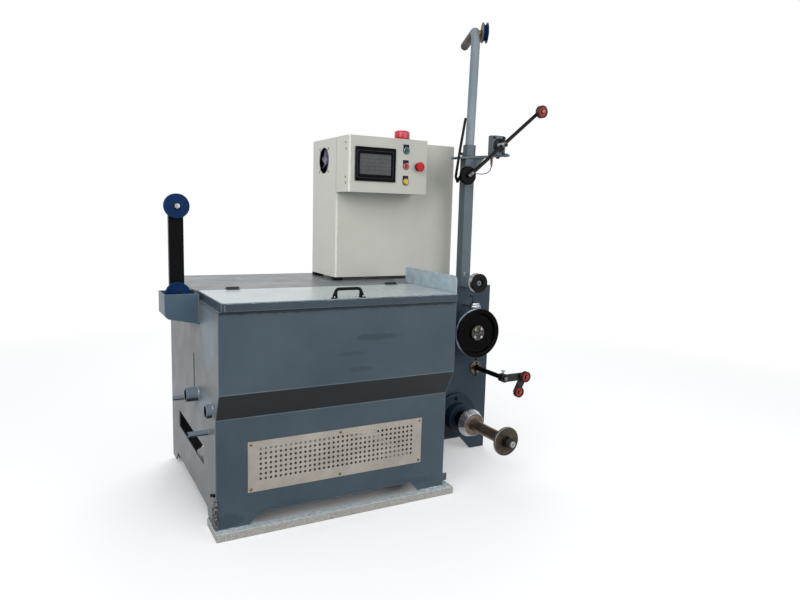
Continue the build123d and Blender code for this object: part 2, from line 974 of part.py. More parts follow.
# Bracket: a sloping cap plate with an arm, a gusset below it, the crook's sleeve and
# the block that carries the dancer's bearing
arm_end = mast_x + bracket_arm
bracket_start = mast_x - bracket_left
bracket_wide_end = mast_right + mast_wall
crook_x = mast_x + crook_in
lean = math.radians(crook_lean)
crook_axis = (math.sin(lean), 0, math.cos(lean))
crook_foot = bracket_under(mast_x) + bracket_thickness / 2 + seat_gap
block_left = dancer_x - dancer_plate / 2
block_right = dancer_x + dancer_plate / 2
block_top = dancer_z + dancer_plate_height / 2
block_back = bracket_front + dancer_block_depth


def bracket_strip(start, end, depth):
    """A length of the sloping plate from its front edge back over a depth."""
    with BuildSketch(facing_front(bracket_front)) as strip:
        with BuildLine():
            Polyline(
                (start, bracket_under(start)), (end, bracket_under(end)),
                (end, bracket_under(end) + bracket_thickness),
                (start, bracket_under(start) + bracket_thickness), close=True,
            )
        make_face()
    extrude(strip.sketch, amount=-depth)


with BuildPart() as mast_bracket:
    bracket_strip(bracket_start, bracket_wide_end, bracket_depth)
    bracket_strip(mast_x, arm_end, bracket_arm_depth)
    with BuildSketch(facing_front(takeup_front)) as gusset:
        with BuildLine():
            Polyline(
                (mast_right, bracket_under(mast_right)),
                (mast_right, mast_top - gusset_height),
                (mast_right + gusset_width, bracket_under(mast_right + gusset_width)),
                close=True,
            )
        make_face()
    extrude(gusset.sketch, amount=-gusset_thickness)
    with BuildSketch(facing_front(bracket_front)) as block:
        with BuildLine():
            Polyline(
                (block_left, bracket_under(block_left)), (block_left, block_top),
                (block_right, block_top), (block_right, bracket_under(block_right)),
                close=True,
            )
        make_face()
    extrude(block.sketch, amount=-dancer_block_depth)
    add_turned((dancer_x, bracket_front, dancer_z), (0, 1, 0), [
        (0, 0), (dancer_shaft_radius + running_gap, 0),
        (dancer_shaft_radius + running_gap, dancer_block_depth), (0, dancer_block_depth),
    ], mode=Mode.SUBTRACT)
    add_turned((crook_x, mast_y, crook_foot), crook_axis, [
        (0, 0), (sleeve_radius, 0), (sleeve_radius, sleeve_height), (0, sleeve_height),
    ])
    add_turned((crook_x, mast_y, crook_foot - seat_gap), crook_axis, [
        (0, 0), (crook_radius + running_gap, 0),
        (crook_radius + running_gap, 2 * sleeve_height), (0, 2 * sleeve_height),
    ], mode=Mode.SUBTRACT)
finish(mast_bracket, "mast_bracket")

# Crook: a bent round pipe that turns in the sleeve and ends in a level leg
turn = math.radians(crook_turn)
leg_x = math.sin(turn)
leg_y = math.cos(turn)
crook_level = bracket_top + crook_height
crook_head_x = crook_x + (crook_level - crook_foot) * math.tan(lean)
top_pulley_z = crook_level - top_pulley_drop
top_pulley_x = crook_x + (top_pulley_z - crook_foot) * math.tan(lean)
pulley_axis = (leg_y, -leg_x, 0)
boss_end = top_pulley_out - pulley_thickness / 2 - roller_gap
axle_past = top_pulley_out + pulley_thickness / 2 + running_gap
with BuildPart() as crook:
    with BuildLine() as crook_path:
        FilletPolyline(
            (crook_x, mast_y, crook_foot), (crook_head_x, mast_y, crook_level),
            (crook_head_x + leg_x * crook_leg, mast_y + leg_y * crook_leg, crook_level),
            radius=crook_bend,
        )
    with BuildSketch(Plane(origin=(crook_x, mast_y, crook_foot), z_dir=crook_axis)):
        Circle(crook_radius)
        Circle(crook_radius - crook_wall, mode=Mode.SUBTRACT)
    sweep()
    add_turned((top_pulley_x, mast_y, top_pulley_z), pulley_axis, [
        (0, crook_boss), (crook_boss, crook_boss), (crook_boss, boss_end),
        (axle_radius, boss_end), (axle_radius, axle_past), (axle_head, axle_past),
        (axle_head, axle_past + axle_head_height), (0, axle_past + axle_head_height),
    ])
finish(crook, "crook")
make_pulley(
    (
        top_pulley_x + pulley_axis[0] * top_pulley_out,
        mast_y + pulley_axis[1] * top_pulley_out, top_pulley_z,
    ),
    pulley_axis, "top_pulley",
)

# Flat bar fixed across the bracket's left end, leaning to the crook and hooked below
hook_back = bracket_front
hook_front = hook_back - hook_thickness
hook_points = [(mast_x - out, bracket_top + rise_by) for out, rise_by in hook_bends]
with BuildPart() as hook_bar:
    with BuildSketch(facing_front(hook_front)) as hook_face:
        for start, end in zip(hook_points, hook_points[1:]):
            run = Vector(*end) - Vector(*start)
            with Locations(((start[0] + end[0]) / 2, (start[1] + end[1]) / 2)):
                SlotCenterToCenter(
                    run.length, hook_width,
                    rotation=math.degrees(math.atan2(run.Y, run.X)),
                )
    extrude(hook_face.sketch, amount=-hook_thickness)
finish(hook_bar, "hook_bar")

# Dancer: a square flange bearing on the bracket's block, and a rod with roller and weight
with BuildPart() as dancer_bearing:
    with BuildSketch(facing_front(bracket_front)) as flange:
        with Locations((dancer_x, dancer_z)):
            Rectangle(dancer_plate, dancer_plate_height)
        chamfer(flange.vertices(), length=dancer_plate_chamfer)
    extrude(flange.sketch, amount=dancer_plate_thickness)
    add_turned((dancer_x, bracket_front, dancer_z), (0, -1, 0), [
        (0, 0), (dancer_ring, 0), (dancer_ring, dancer_plate_thickness + dancer_ring_depth),
        (0, dancer_plate_thickness + dancer_ring_depth),
    ])
    add_turned((dancer_x, bracket_front, dancer_z), (0, -1, 0), [
        (0, 0), (dancer_shaft_radius + running_gap, 0),
        (dancer_shaft_radius + running_gap, 2 * dancer_ring), (0, 2 * dancer_ring),
    ], mode=Mode.SUBTRACT)
finish(dancer_bearing, "dancer_bearing")

swing = math.radians(dancer_angle)
arm_x = math.cos(swing)
arm_z = math.sin(swing)
roller_x = dancer_x + arm_x * dancer_upper
roller_z = dancer_z + arm_z * dancer_upper
weight_x = dancer_x - arm_x * (dancer_lower - dancer_weight_in)
weight_z = dancer_z - arm_z * (dancer_lower - dancer_weight_in)
shaft_end = bracket_front - dancer_shaft_out
roller_back = dancer_rod_y - dancer_rod_radius - roller_gap
with BuildPart() as dancer_arm:
    add_turned((dancer_x, block_back, dancer_z), (0, -1, 0), [
        (0, 0), (dancer_shaft_radius, 0), (dancer_shaft_radius, block_back - shaft_end),
        (0, block_back - shaft_end),
    ])
    add_turned((dancer_x, dancer_rod_y, dancer_z), (arm_x, 0, arm_z), [
        (0, -dancer_lower), (dancer_rod_radius, -dancer_lower),
        (dancer_rod_radius, dancer_upper + dancer_rod_radius),
        (0, dancer_upper + dancer_rod_radius),
    ])
    add_turned((roller_x, dancer_rod_y, roller_z), (0, -1, 0), axle_profile(
        roller_bore, axle_head, 0,
        dancer_rod_y - roller_back + dancer_roller_thickness + running_gap,
    ))
finish(dancer_arm, "dancer_arm")

with BuildPart() as dancer_weight:
    add_turned((weight_x, dancer_rod_y + dancer_rod_radius, weight_z), (0, 1, 0), [
        (0, seat_gap), (weight_radius, seat_gap),
        (weight_radius, seat_gap + weight_thickness), (0, seat_gap + weight_thickness),
    ])
finish(dancer_weight, "dancer_weight")


def make_roller(centre, radius, bore, thickness, name):
    """A small guide roller about a front to back axle, with a shallow round groove."""
    half = thickness / 2
    lip = thickness * roller_lip_share
    with BuildPart() as roller:
        add_turned(centre, (0, 1, 0), [
            (bore, -half), (radius, -half), (radius, lip - half),
            (radius - lip, 0), (radius, half - lip), (radius, half), (bore, half),
        ])
    finish(roller, name)


make_roller(
    (roller_x, roller_back - dancer_roller_thickness / 2, roller_z),
    dancer_roller_radius, roller_bore + running_gap, dancer_roller_thickness, "dancer_roller",
)

# Proximity sensor under the bracket's arm, and its lead into the mast
sensor_x = mast_x + sensor_out
sensor_y = bracket_front + bracket_arm_depth / 2
sensor_high = bracket_under(sensor_x - sensor_radius - sensor_nut)
sensor_low = sensor_high - sensor_length
with BuildPart() as proximity_sensor:
    add_turned((sensor_x, sensor_y, sensor_high), (0, 0, -1), [
        (0, 0), (sensor_radius + sensor_nut, 0), (sensor_radius + sensor_nut, sensor_nut_height),
        (sensor_radius, sensor_nut_height), (sensor_radius, sensor_length), (0, sensor_length),
    ])
finish(proximity_sensor, "proximity_sensor")


def make_lead(points, name):
    """A thin lead: straight runs joined by arcs as large as the runs allow."""
    route = [Vector(*point) for point in points]
    radii = []
    for before, corner, after in zip(route, route[1:], route[2:]):
        angle = (corner - before).get_angle(after - corner)
        shorter = min((corner - before).length, (after - corner).length)
        radii.append(0.45 * shorter / math.tan(math.radians(angle) / 2))
    print(name, "radii", [round(radius, 1) for radius in radii])
    with BuildPart() as lead:
        with BuildLine():
            path = FilletPolyline(*points, radius=radii)
        with BuildSketch(Plane(origin=path @ 0, z_dir=path % 0)):
            Circle(lead_radius)
        sweep()
    section = math.pi * lead_radius ** 2
    print(name, "length", round(path.length, 1), "volume share",
          round(lead.part.volume / (section * path.length), 4))
    finish(lead, name)


sensor_route = [
    (sensor_x + step_x, sensor_y + step_y, sensor_low + step_z)
    for step_x, step_y, step_z in sensor_lead_steps
]
sensor_route.append((mast_right, sensor_route[-1][1], sensor_route[-1][2]))
make_lead(sensor_route, "sensor_lead")

# Guide pulley on its arm, bolted to the mast's front
with BuildPart() as guide_arm:
    add_block(
        (mast_x - guide_arm_width / 2, takeup_front - guide_arm_length, guide_z - guide_arm_height / 2),
        (mast_x + guide_arm_width / 2, takeup_front, guide_z + guide_arm_height / 2),
    )
    add_turned(
        (mast_x, takeup_front - guide_arm_length, guide_z), (0, -1, 0),
        axle_profile(
            guide_axle, guide_axle_head, 0,
            guide_gap + guide_thickness - guide_recess + running_gap,
        ),
    )
finish(guide_arm, "guide_arm")

half_guide = guide_thickness / 2
with BuildPart() as guide_pulley:
    add_turned((mast_x, guide_back - half_guide, guide_z), (0, -1, 0), [
        (guide_axle + running_gap, -half_guide), (guide_pulley_radius, -half_guide),
        (guide_pulley_radius, guide_back_lip - half_guide),
        (guide_groove_radius, guide_back_lip + guide_bevel - half_guide),
        (guide_groove_radius, half_guide - guide_front_lip - guide_bevel),
        (guide_pulley_radius, half_guide - guide_front_lip),
        (guide_pulley_radius, half_guide), (guide_recess_radius, half_guide),
        (guide_recess_radius - guide_recess_taper, half_guide - guide_recess),
        (guide_axle + running_gap, half_guide - guide_recess),
    ])
finish(guide_pulley, "guide_pulley")

# Capstan: bearing housing on the plate, a flanged wheel with a sunk web, and its hub
with BuildPart() as capstan_bearing:
    add_turned((mast_x, takeup_front, capstan_z), (0, -1, 0), ring(
        capstan_shaft + running_gap, capstan_housing, 0, capstan_housing_length,
    ))
finish(capstan_bearing, "capstan_bearing")

web_back = capstan_thickness
web_front = capstan_thickness - capstan_web
capstan_shaft_end = capstan_out + capstan_thickness + takeup_plate_thickness
with BuildPart() as capstan_wheel:
    add_turned((mast_x, capstan_front, capstan_z), (0, 1, 0), [
        (capstan_hub_bore, web_front), (capstan_rim_inner - capstan_web_taper, web_front),
        (capstan_rim_inner, 0), (capstan_radius, 0), (capstan_radius, capstan_lip),
        (capstan_groove, capstan_lip + capstan_groove_taper),
        (capstan_groove, web_back - capstan_lip - capstan_groove_taper),
        (capstan_radius, web_back - capstan_lip), (capstan_radius, web_back),
        (capstan_shaft, web_back),
        (capstan_shaft, capstan_shaft_end), (0, capstan_shaft_end),
        (0, web_back), (capstan_hub_bore, web_back - wall / 2),
    ])
finish(capstan_wheel, "capstan_wheel")

with BuildPart() as capstan_hub:
    add_turned(
        (mast_x, capstan_front + web_front - capstan_hub_thickness, capstan_z), (0, 1, 0),
        ring(capstan_hub_bore, capstan_hub_radius, 0, capstan_hub_thickness),
    )
finish(capstan_hub, "capstan_hub")

# Wire sensor above and behind the capstan's rim, on a stem from the plate, with its lead
wire_sensor_low = capstan_z + capstan_radius - wire_sensor_drop
wire_sensor_front = capstan_back + wire_sensor_gap
wire_sensor_back = wire_sensor_front + wire_sensor_depth
wire_sensor_high = wire_sensor_low + wire_sensor_height
with BuildPart() as wire_sensor:
    add_block(
        (mast_x - wire_sensor_width / 2, wire_sensor_front, wire_sensor_low),
        (mast_x + wire_sensor_width / 2, wire_sensor_back, wire_sensor_high),
    )
    add_block(
        (mast_x - wire_sensor_stem / 2, wire_sensor_back, wire_sensor_low),
        (mast_x + wire_sensor_stem / 2, takeup_front, wire_sensor_low + wire_sensor_stem),
    )
finish(wire_sensor, "wire_sensor")

wire_lead_x = mast_x - wire_sensor_stem
wire_lead_y = wire_sensor_front + wire_sensor_depth / 2
wire_route = [
    (wire_lead_x + step_x, wire_lead_y + step_y, wire_sensor_high + step_z)
    for step_x, step_y, step_z in wire_lead_steps
]
wire_route.append((wire_route[-1][0], takeup_front, wire_route[-1][2]))
make_lead(wire_route, "wire_sensor_lead")

# Traverse: bronze flange on the plate, sliding rod with its collar, arm and two rollers
with BuildPart() as traverse_flange:
    add_turned((traverse_x, takeup_front, traverse_height), (0, -1, 0), [
        (traverse_rod_radius + running_gap, 0), (traverse_flange_radius, 0),
        (traverse_flange_radius, traverse_flange_thickness / 2),
        (traverse_boss_radius, traverse_flange_thickness / 2),
        (traverse_boss_radius, traverse_flange_thickness),
        (traverse_rod_radius + running_gap, traverse_flange_thickness),
    ])
finish(traverse_flange, "traverse_flange")

with BuildPart() as traverse_rod:
    add_turned((traverse_x, traverse_rod_end, traverse_height), (0, 1, 0), [
        (0, 0), (traverse_rod_radius, 0),
        (traverse_rod_radius, traverse_rod_out + traverse_rod_back),
        (0, traverse_rod_out + traverse_rod_back),
    ])
finish(traverse_rod, "traverse_rod")

roller_back_y = traverse_rod_end + collar_back - roller_gap
traverse_rollers = [
    (traverse_x + traverse_arm, traverse_height),
    (traverse_x + traverse_arm - traverse_leg_x, traverse_height - traverse_leg_z),
]
leg_angle = math.degrees(math.atan2(traverse_leg_z, traverse_leg_x))
with BuildPart() as traverse_arm_plate:
    with BuildSketch(facing_front(traverse_rod_end + collar_back)):
        with Locations((traverse_x + traverse_arm / 2, traverse_height)):
            SlotCenterToCenter(traverse_arm, traverse_arm_height)
        with Locations((
            traverse_x + traverse_arm - traverse_leg_x / 2, traverse_height - traverse_leg_z / 2)):
            SlotCenterToCenter(
                math.hypot(traverse_leg_x, traverse_leg_z), traverse_leg_width, rotation=leg_angle)
        with Locations((traverse_x, traverse_height)):
            Circle(traverse_rod_radius, mode=Mode.SUBTRACT)
    extrude(amount=-traverse_arm_thickness)
    add_turned(
        (traverse_x, traverse_rod_end + collar_back, traverse_height), (0, 1, 0),
        ring(traverse_rod_radius, collar_radius, 0, collar_length),
    )
    for place_x, place_z in traverse_rollers:
        add_turned((place_x, traverse_rod_end + collar_back, place_z), (0, -1, 0), axle_profile(
            traverse_roller_bore, traverse_roller_head, 0,
            roller_gap + traverse_roller_thickness + running_gap,
        ))
finish(traverse_arm_plate, "traverse_arm_plate")

for (place_x, place_z), name in zip(traverse_rollers, ("traverse_roller_high", "traverse_roller_low")):
    make_roller(
        (place_x, roller_back_y - traverse_roller_thickness / 2, place_z),
        traverse_roller_radius, traverse_roller_bore + running_gap,
        traverse_roller_thickness, name,
    )

# Take-up spindle: bearing housing, spindle with its cone, loose disc and nut
with BuildPart() as spindle_housing:
    add_turned((spindle_x, takeup_front, spindle_height), (0, -1, 0), [
        (spindle_bore, 0), (spindle_flange_radius, 0),
        (spindle_flange_radius, spindle_flange_thickness),
        (spindle_housing_radius, spindle_flange_thickness),
        (spindle_housing_radius, spindle_flange_thickness + spindle_housing_length),
        (spindle_bore, spindle_flange_thickness + spindle_housing_length),
    ])
finish(spindle_housing, "spindle_housing")

spindle_back = takeup_front + takeup_plate_thickness
cone_back = cone_front + cone_length
nose_end = spindle_back - nut_front + spindle_end
with BuildPart() as takeup_spindle:
    add_turned((spindle_x, spindle_back, spindle_height), (0, -1, 0), [
        (0, 0), (spindle_neck, 0), (spindle_neck, spindle_back - cone_back),
        (cone_back_radius, spindle_back - cone_back),
        (cone_back_radius, spindle_back - cone_back + cone_flat),
        (cone_front_radius, spindle_back - cone_front),
        (spindle_shaft, spindle_back - cone_front), (spindle_shaft, spindle_back - disc_back),
        (spindle_nose, spindle_back - disc_back),
        (spindle_nose, nose_end - spindle_nose_chamfer),
        (spindle_nose - spindle_nose_chamfer, nose_end), (spindle_centre_hole, nose_end),
        (spindle_centre_hole, nose_end - spindle_centre_depth),
        (0, nose_end - spindle_centre_depth),
    ])
finish(takeup_spindle, "takeup_spindle")

with BuildPart() as spool_disc:
    add_turned(
        (spindle_x, disc_back, spindle_height), (0, -1, 0),
        ring(spindle_nose + seat_gap, spool_disc_radius, 0, spool_disc_thickness),
    )
finish(spool_disc, "spool_disc")

with BuildPart() as spool_nut:
    with BuildSketch(facing_front(disc_front)):
        with Locations((spindle_x, spindle_height)):
            RegularPolygon(spool_nut_size / 2, 6, major_radius=False)
            Circle(spindle_nose + seat_gap, mode=Mode.SUBTRACT)
    extrude(amount=spool_nut_length)
finish(spool_nut, "spool_nut")

# Control cabinet: a closed sheet box on four feet, open where the panel box joins it
with BuildPart() as cabinet:
    add_block((cabinet_x, cabinet_front, cabinet_base), (cabinet_right, cabinet_back, cabinet_top))
    add_block(
        (cabinet_x + thin_sheet, cabinet_front + thin_sheet, cabinet_base + thin_sheet),
        (cabinet_right - thin_sheet, cabinet_back - thin_sheet, cabinet_top - thin_sheet),
        mode=Mode.SUBTRACT,
    )
    with BuildSketch(facing_left(cabinet_x)):
        with Locations((fan_y, fan_z)):
            Circle(fan_opening)
    extrude(amount=thin_sheet, mode=Mode.SUBTRACT)
finish(cabinet, "cabinet")

with BuildPart() as cabinet_feet:
    for foot_x in (cabinet_x, cabinet_right - cabinet_foot):
        for foot_y in (cabinet_front, cabinet_back - cabinet_foot):
            add_block(
                (foot_x, foot_y, lid_top),
                (foot_x + cabinet_foot, foot_y + cabinet_foot, cabinet_base),
            )
finish(cabinet_feet, "cabinet_feet")

panel_right = cabinet_x + panel_box_width
screen_x = cabinet_x + screen_in + screen_width / 2
screen_z = cabinet_top - screen_drop - screen_height / 2
panel_holes = [(cabinet_x + button_in, height) for height in button_heights]
panel_holes.append((stop_x, button_heights[1]))
switch_body_radius = button_radius + switch_body_wall
with BuildPart() as control_box:
    add_block((cabinet_x, panel_front, panel_base), (panel_right, cabinet_front, cabinet_top))
    add_block(
        (cabinet_x + thin_sheet, panel_front + thin_sheet, panel_base + thin_sheet),
        (panel_right - thin_sheet, cabinet_front, cabinet_top - thin_sheet),
        mode=Mode.SUBTRACT,
    )
    with BuildSketch(facing_front(panel_front)):
        with Locations((screen_x, screen_z)):
            Rectangle(screen_width - 2 * screen_rim, screen_height - 2 * screen_rim)
        with Locations(*panel_holes):
            Circle(switch_body_radius + running_gap)
    extrude(amount=-thin_sheet, mode=Mode.SUBTRACT)
finish(control_box, "control_box")

# Touch screen: a bezel over its cut-out, with the body behind it
with BuildPart() as touch_screen:
    add_block(
        (screen_x - screen_width / 2, panel_front - screen_proud, screen_z - screen_height / 2),
        (screen_x + screen_width / 2, panel_front, screen_z + screen_height / 2),
    )
    add_block(
        (
            screen_x - screen_width / 2 + screen_rim + running_gap, panel_front,
            screen_z - screen_height / 2 + screen_rim + running_gap,
        ),
        (
            screen_x + screen_width / 2 - screen_rim - running_gap, panel_front + screen_depth,
            screen_z + screen_height / 2 - screen_rim - running_gap,
        ),
    )
finish(touch_screen, "touch_screen")

# Switches: fixed collars with their bodies behind, three buttons and a mushroom stop
with BuildPart() as switch_collars:
    for hole_x, hole_z in panel_holes:
        add_turned((hole_x, panel_front, hole_z), (0, -1, 0), [
            (button_radius + running_gap, -switch_body), (switch_body_radius, -switch_body),
            (switch_body_radius, 0), (button_collar, 0), (button_collar, button_collar_proud),
            (button_radius + running_gap, button_collar_proud),
        ])
finish(switch_collars, "switch_collars")

for height, name in zip(button_heights, ("green_button", "red_button", "yellow_button")):
    with BuildPart() as button:
        add_turned((button_x, panel_front, height), (0, -1, 0), [
            (0, 2 * button_travel - switch_body),
            (button_radius, 2 * button_travel - switch_body),
            (button_radius, button_proud - button_edge),
            (button_radius - button_edge, button_proud), (0, button_proud),
        ])
    finish(button, name)

with BuildPart() as emergency_stop:
    add_turned((stop_x, panel_front, button_heights[1]), (0, -1, 0), [
        (0, 2 * stop_travel - switch_body), (button_radius, 2 * stop_travel - switch_body),
        (button_radius, stop_proud - stop_cap),
        (stop_radius - stop_under, stop_proud - stop_cap),
        (stop_radius, stop_proud - stop_cap + stop_rim),
        (stop_radius, stop_proud - stop_shoulder),
        (stop_radius - stop_dome, stop_proud), (0, stop_proud),
    ])
finish(emergency_stop, "emergency_stop")

# Warning beacon on the control box
with BuildPart() as warning_beacon:
    add_turned((cabinet_x + beacon_in, panel_front + beacon_back, cabinet_top), (0, 0, 1), [
        (0, 0), (beacon_radius, 0), (beacon_radius, beacon_base),
        (beacon_radius - beacon_step, beacon_base + beacon_step),
        (beacon_radius - beacon_taper, beacon_height - beacon_crown),
        (beacon_radius - beacon_crown, beacon_height - beacon_step / 2), (0, beacon_height),
    ])
finish(warning_beacon, "warning_beacon")

# Cooling fan behind the opening in the cabinet's left side
fan_left = cabinet_x + thin_sheet
with BuildPart() as fan_frame:
    with BuildSketch(facing_left(fan_left)):
        with Locations((fan_y, fan_z)):
            Rectangle(fan_frame_size, fan_frame_size)
            Circle(fan_ring, mode=Mode.SUBTRACT)
    extrude(amount=fan_frame_depth)
    with BuildSketch(facing_left(fan_left + fan_frame_depth - thin_sheet)):
        with Locations((fan_y, fan_z)):
            Circle(fan_hub)
            Rectangle(2 * fan_ring + thin_sheet, fan_spoke)
            Rectangle(fan_spoke, 2 * fan_ring + thin_sheet)
    extrude(amount=thin_sheet)
    add_turned((fan_left + fan_frame_depth, fan_y, fan_z), (-1, 0, 0), [
        (0, 0), (fan_axle, 0), (fan_axle, fan_frame_depth / 2), (0, fan_frame_depth / 2),
    ])
finish(fan_frame, "fan_frame")

with BuildPart() as fan_rotor:
    add_turned((fan_left + fan_set_back, fan_y, fan_z), (1, 0, 0), [
        (0, 0), (fan_hub, 0), (fan_hub, fan_blade_depth + fan_set_back),
        (fan_axle + running_gap, fan_blade_depth + fan_set_back),
        (fan_axle + running_gap, 2 * fan_set_back), (0, 2 * fan_set_back),
    ])
    for blade in range(fan_blades):
        angle = 2 * math.pi * blade / fan_blades
        outward = Plane(
            origin=(fan_left + 1.5 * fan_set_back + fan_blade_depth / 2, fan_y, fan_z),
            x_dir=(1, 0, 0), z_dir=(0, math.cos(angle), math.sin(angle)),
        )
        with BuildSketch(outward.offset(fan_hub - fan_blade_root)):
            Rectangle(fan_blade_depth, fan_blade_thickness, rotation=fan_blade_pitch)
        extrude(amount=fan_blade_tip - fan_hub + fan_blade_root)
finish(fan_rotor, "fan_rotor")
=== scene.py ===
import json
import math

import bmesh
import bpy
import numpy as np
from mathutils import Matrix, Vector


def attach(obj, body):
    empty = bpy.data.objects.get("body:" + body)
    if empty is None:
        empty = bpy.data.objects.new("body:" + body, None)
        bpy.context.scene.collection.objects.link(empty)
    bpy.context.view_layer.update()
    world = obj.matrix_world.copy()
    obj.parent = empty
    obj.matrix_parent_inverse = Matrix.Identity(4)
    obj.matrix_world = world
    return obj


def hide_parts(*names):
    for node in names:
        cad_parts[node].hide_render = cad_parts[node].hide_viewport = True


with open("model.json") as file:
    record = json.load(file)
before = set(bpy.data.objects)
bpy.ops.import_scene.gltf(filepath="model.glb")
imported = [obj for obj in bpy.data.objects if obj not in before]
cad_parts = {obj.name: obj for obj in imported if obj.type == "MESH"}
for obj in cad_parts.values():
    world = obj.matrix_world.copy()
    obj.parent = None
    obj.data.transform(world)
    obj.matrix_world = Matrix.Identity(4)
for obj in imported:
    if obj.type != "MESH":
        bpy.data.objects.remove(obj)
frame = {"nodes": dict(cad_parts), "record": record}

nodes = frame["nodes"]
bodyOf = {n: b for b, names in frame["record"]["behaviour"]["bodies"].items() for n in names}
slotOf = {s["node"]: s["material_slot"] for s in frame["record"]["subparts"]}
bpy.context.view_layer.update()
print("frame loaded:", len(nodes), "solids")

# Camera and light

view = {
    "place": (-0.97575, -2.2266, 1.17903),
    "heading": -28.608, "pitch": -0.13406, "roll": -0.02761,
    "focal": 36.0 * 655.73 / 800,
    "skyColour": (0.93, 0.96, 1.0), "skyStrength": 0.58,
}
lamps = {  # place, target, size, power
    "key": ((-3.0, -2.6, 3.3), (-0.1, 0.3, 0.6), (4.0, 3.6), 166.0),
    "fill": ((2.4, -3.6, 2.1), (0.4, 0.3, 0.9), (3.2, 3.0), 84.0),
    "rim": ((1.6, 3.6, 3.4), (0.2, 0.3, 0.9), (2.6, 1.8), 90.0),
}


def linked(name, data):
    # a new object of the scene, at the origin
    obj = bpy.data.objects.new(name, data)
    bpy.context.scene.collection.objects.link(obj)
    return obj


def setSockets(node, values):
    # the node's inputs that are named take these values
    for socket, value in values.items():
        node.inputs[socket].default_value = value


def makeCamera():
    # turn = heading about Z, then pitch about X, then roll about Y; the lens looks along +Y
    data = bpy.data.cameras.new("camera")
    data.lens = view["focal"]
    data.sensor_width = 36.0
    data.clip_end = 100.0
    eye = linked("camera", data)
    turn = (
        Matrix.Rotation(math.radians(view["heading"]), 4, "Z")
        @ Matrix.Rotation(view["pitch"], 4, "X")
        @ Matrix.Rotation(view["roll"], 4, "Y")
        @ Matrix.Rotation(math.radians(90), 4, "X")
    )
    eye.matrix_world = Matrix.Translation(view["place"]) @ turn
    bpy.context.scene.camera = eye


def addSoftBox(name, spot, target, size, power):
    # a rectangle of light at its spot, its -Z turned along target - spot; the rim lamp has no highlight
    data = bpy.data.lights.new(name, "AREA")
    data.shape = "RECTANGLE"
    data.size, data.size_y = size
    data.energy = power
    lamp = linked(name, data)
    lamp.location = spot
    lamp.visible_camera = False
    lamp.visible_glossy = name != "rim"
    lamp.rotation_euler = (Vector(target) - Vector(spot)).to_track_quat("-Z", "Y").to_euler()


def seenRays(tree):
    # 1 for rays from the camera, from reflections and through glass: the greatest of those three sockets
    path = tree.nodes.new("ShaderNodeLightPath")
    total = path.outputs["Is Camera Ray"]
    for kind in ("Is Glossy Ray", "Is Transmission Ray"):
        node = tree.nodes.new("ShaderNodeMath")
        node.operation = "MAXIMUM"
        tree.links.new(total, node.inputs[0])
        tree.links.new(path.outputs[kind], node.inputs[1])
        total = node.outputs[0]
    return total


def mixShaders(tree, factor, first, second):
    # first * (1 - factor) + second * factor
    node = tree.nodes.new("ShaderNodeMixShader")
    for socket, source in zip(node.inputs, (factor, first, second)):
        tree.links.new(source, socket)
    return node.outputs[0]


def makeLight():
    # the world is plain white to the eye and in reflections, and a soft dim sky for everything else
    world = bpy.data.worlds.new("studio")
    bpy.context.scene.world = world
    world.use_nodes = True
    tree = world.node_tree
    tree.nodes.clear()
    out = tree.nodes.new("ShaderNodeOutputWorld")
    soft, white = tree.nodes.new("ShaderNodeBackground"), tree.nodes.new("ShaderNodeBackground")
    setSockets(soft, {"Color": (*view["skyColour"], 1), "Strength": view["skyStrength"]})
    setSockets(white, {"Color": (1, 1, 1, 1)})
    tree.links.new(mixShaders(tree, seenRays(tree), soft.outputs[0], white.outputs[0]), out.inputs["Surface"])
    for name, lamp in lamps.items():
        addSoftBox(name, *lamp)


makeCamera()
makeLight()
bpy.context.scene.view_settings.view_transform = "Standard"
print("camera and light set")

# Finishes


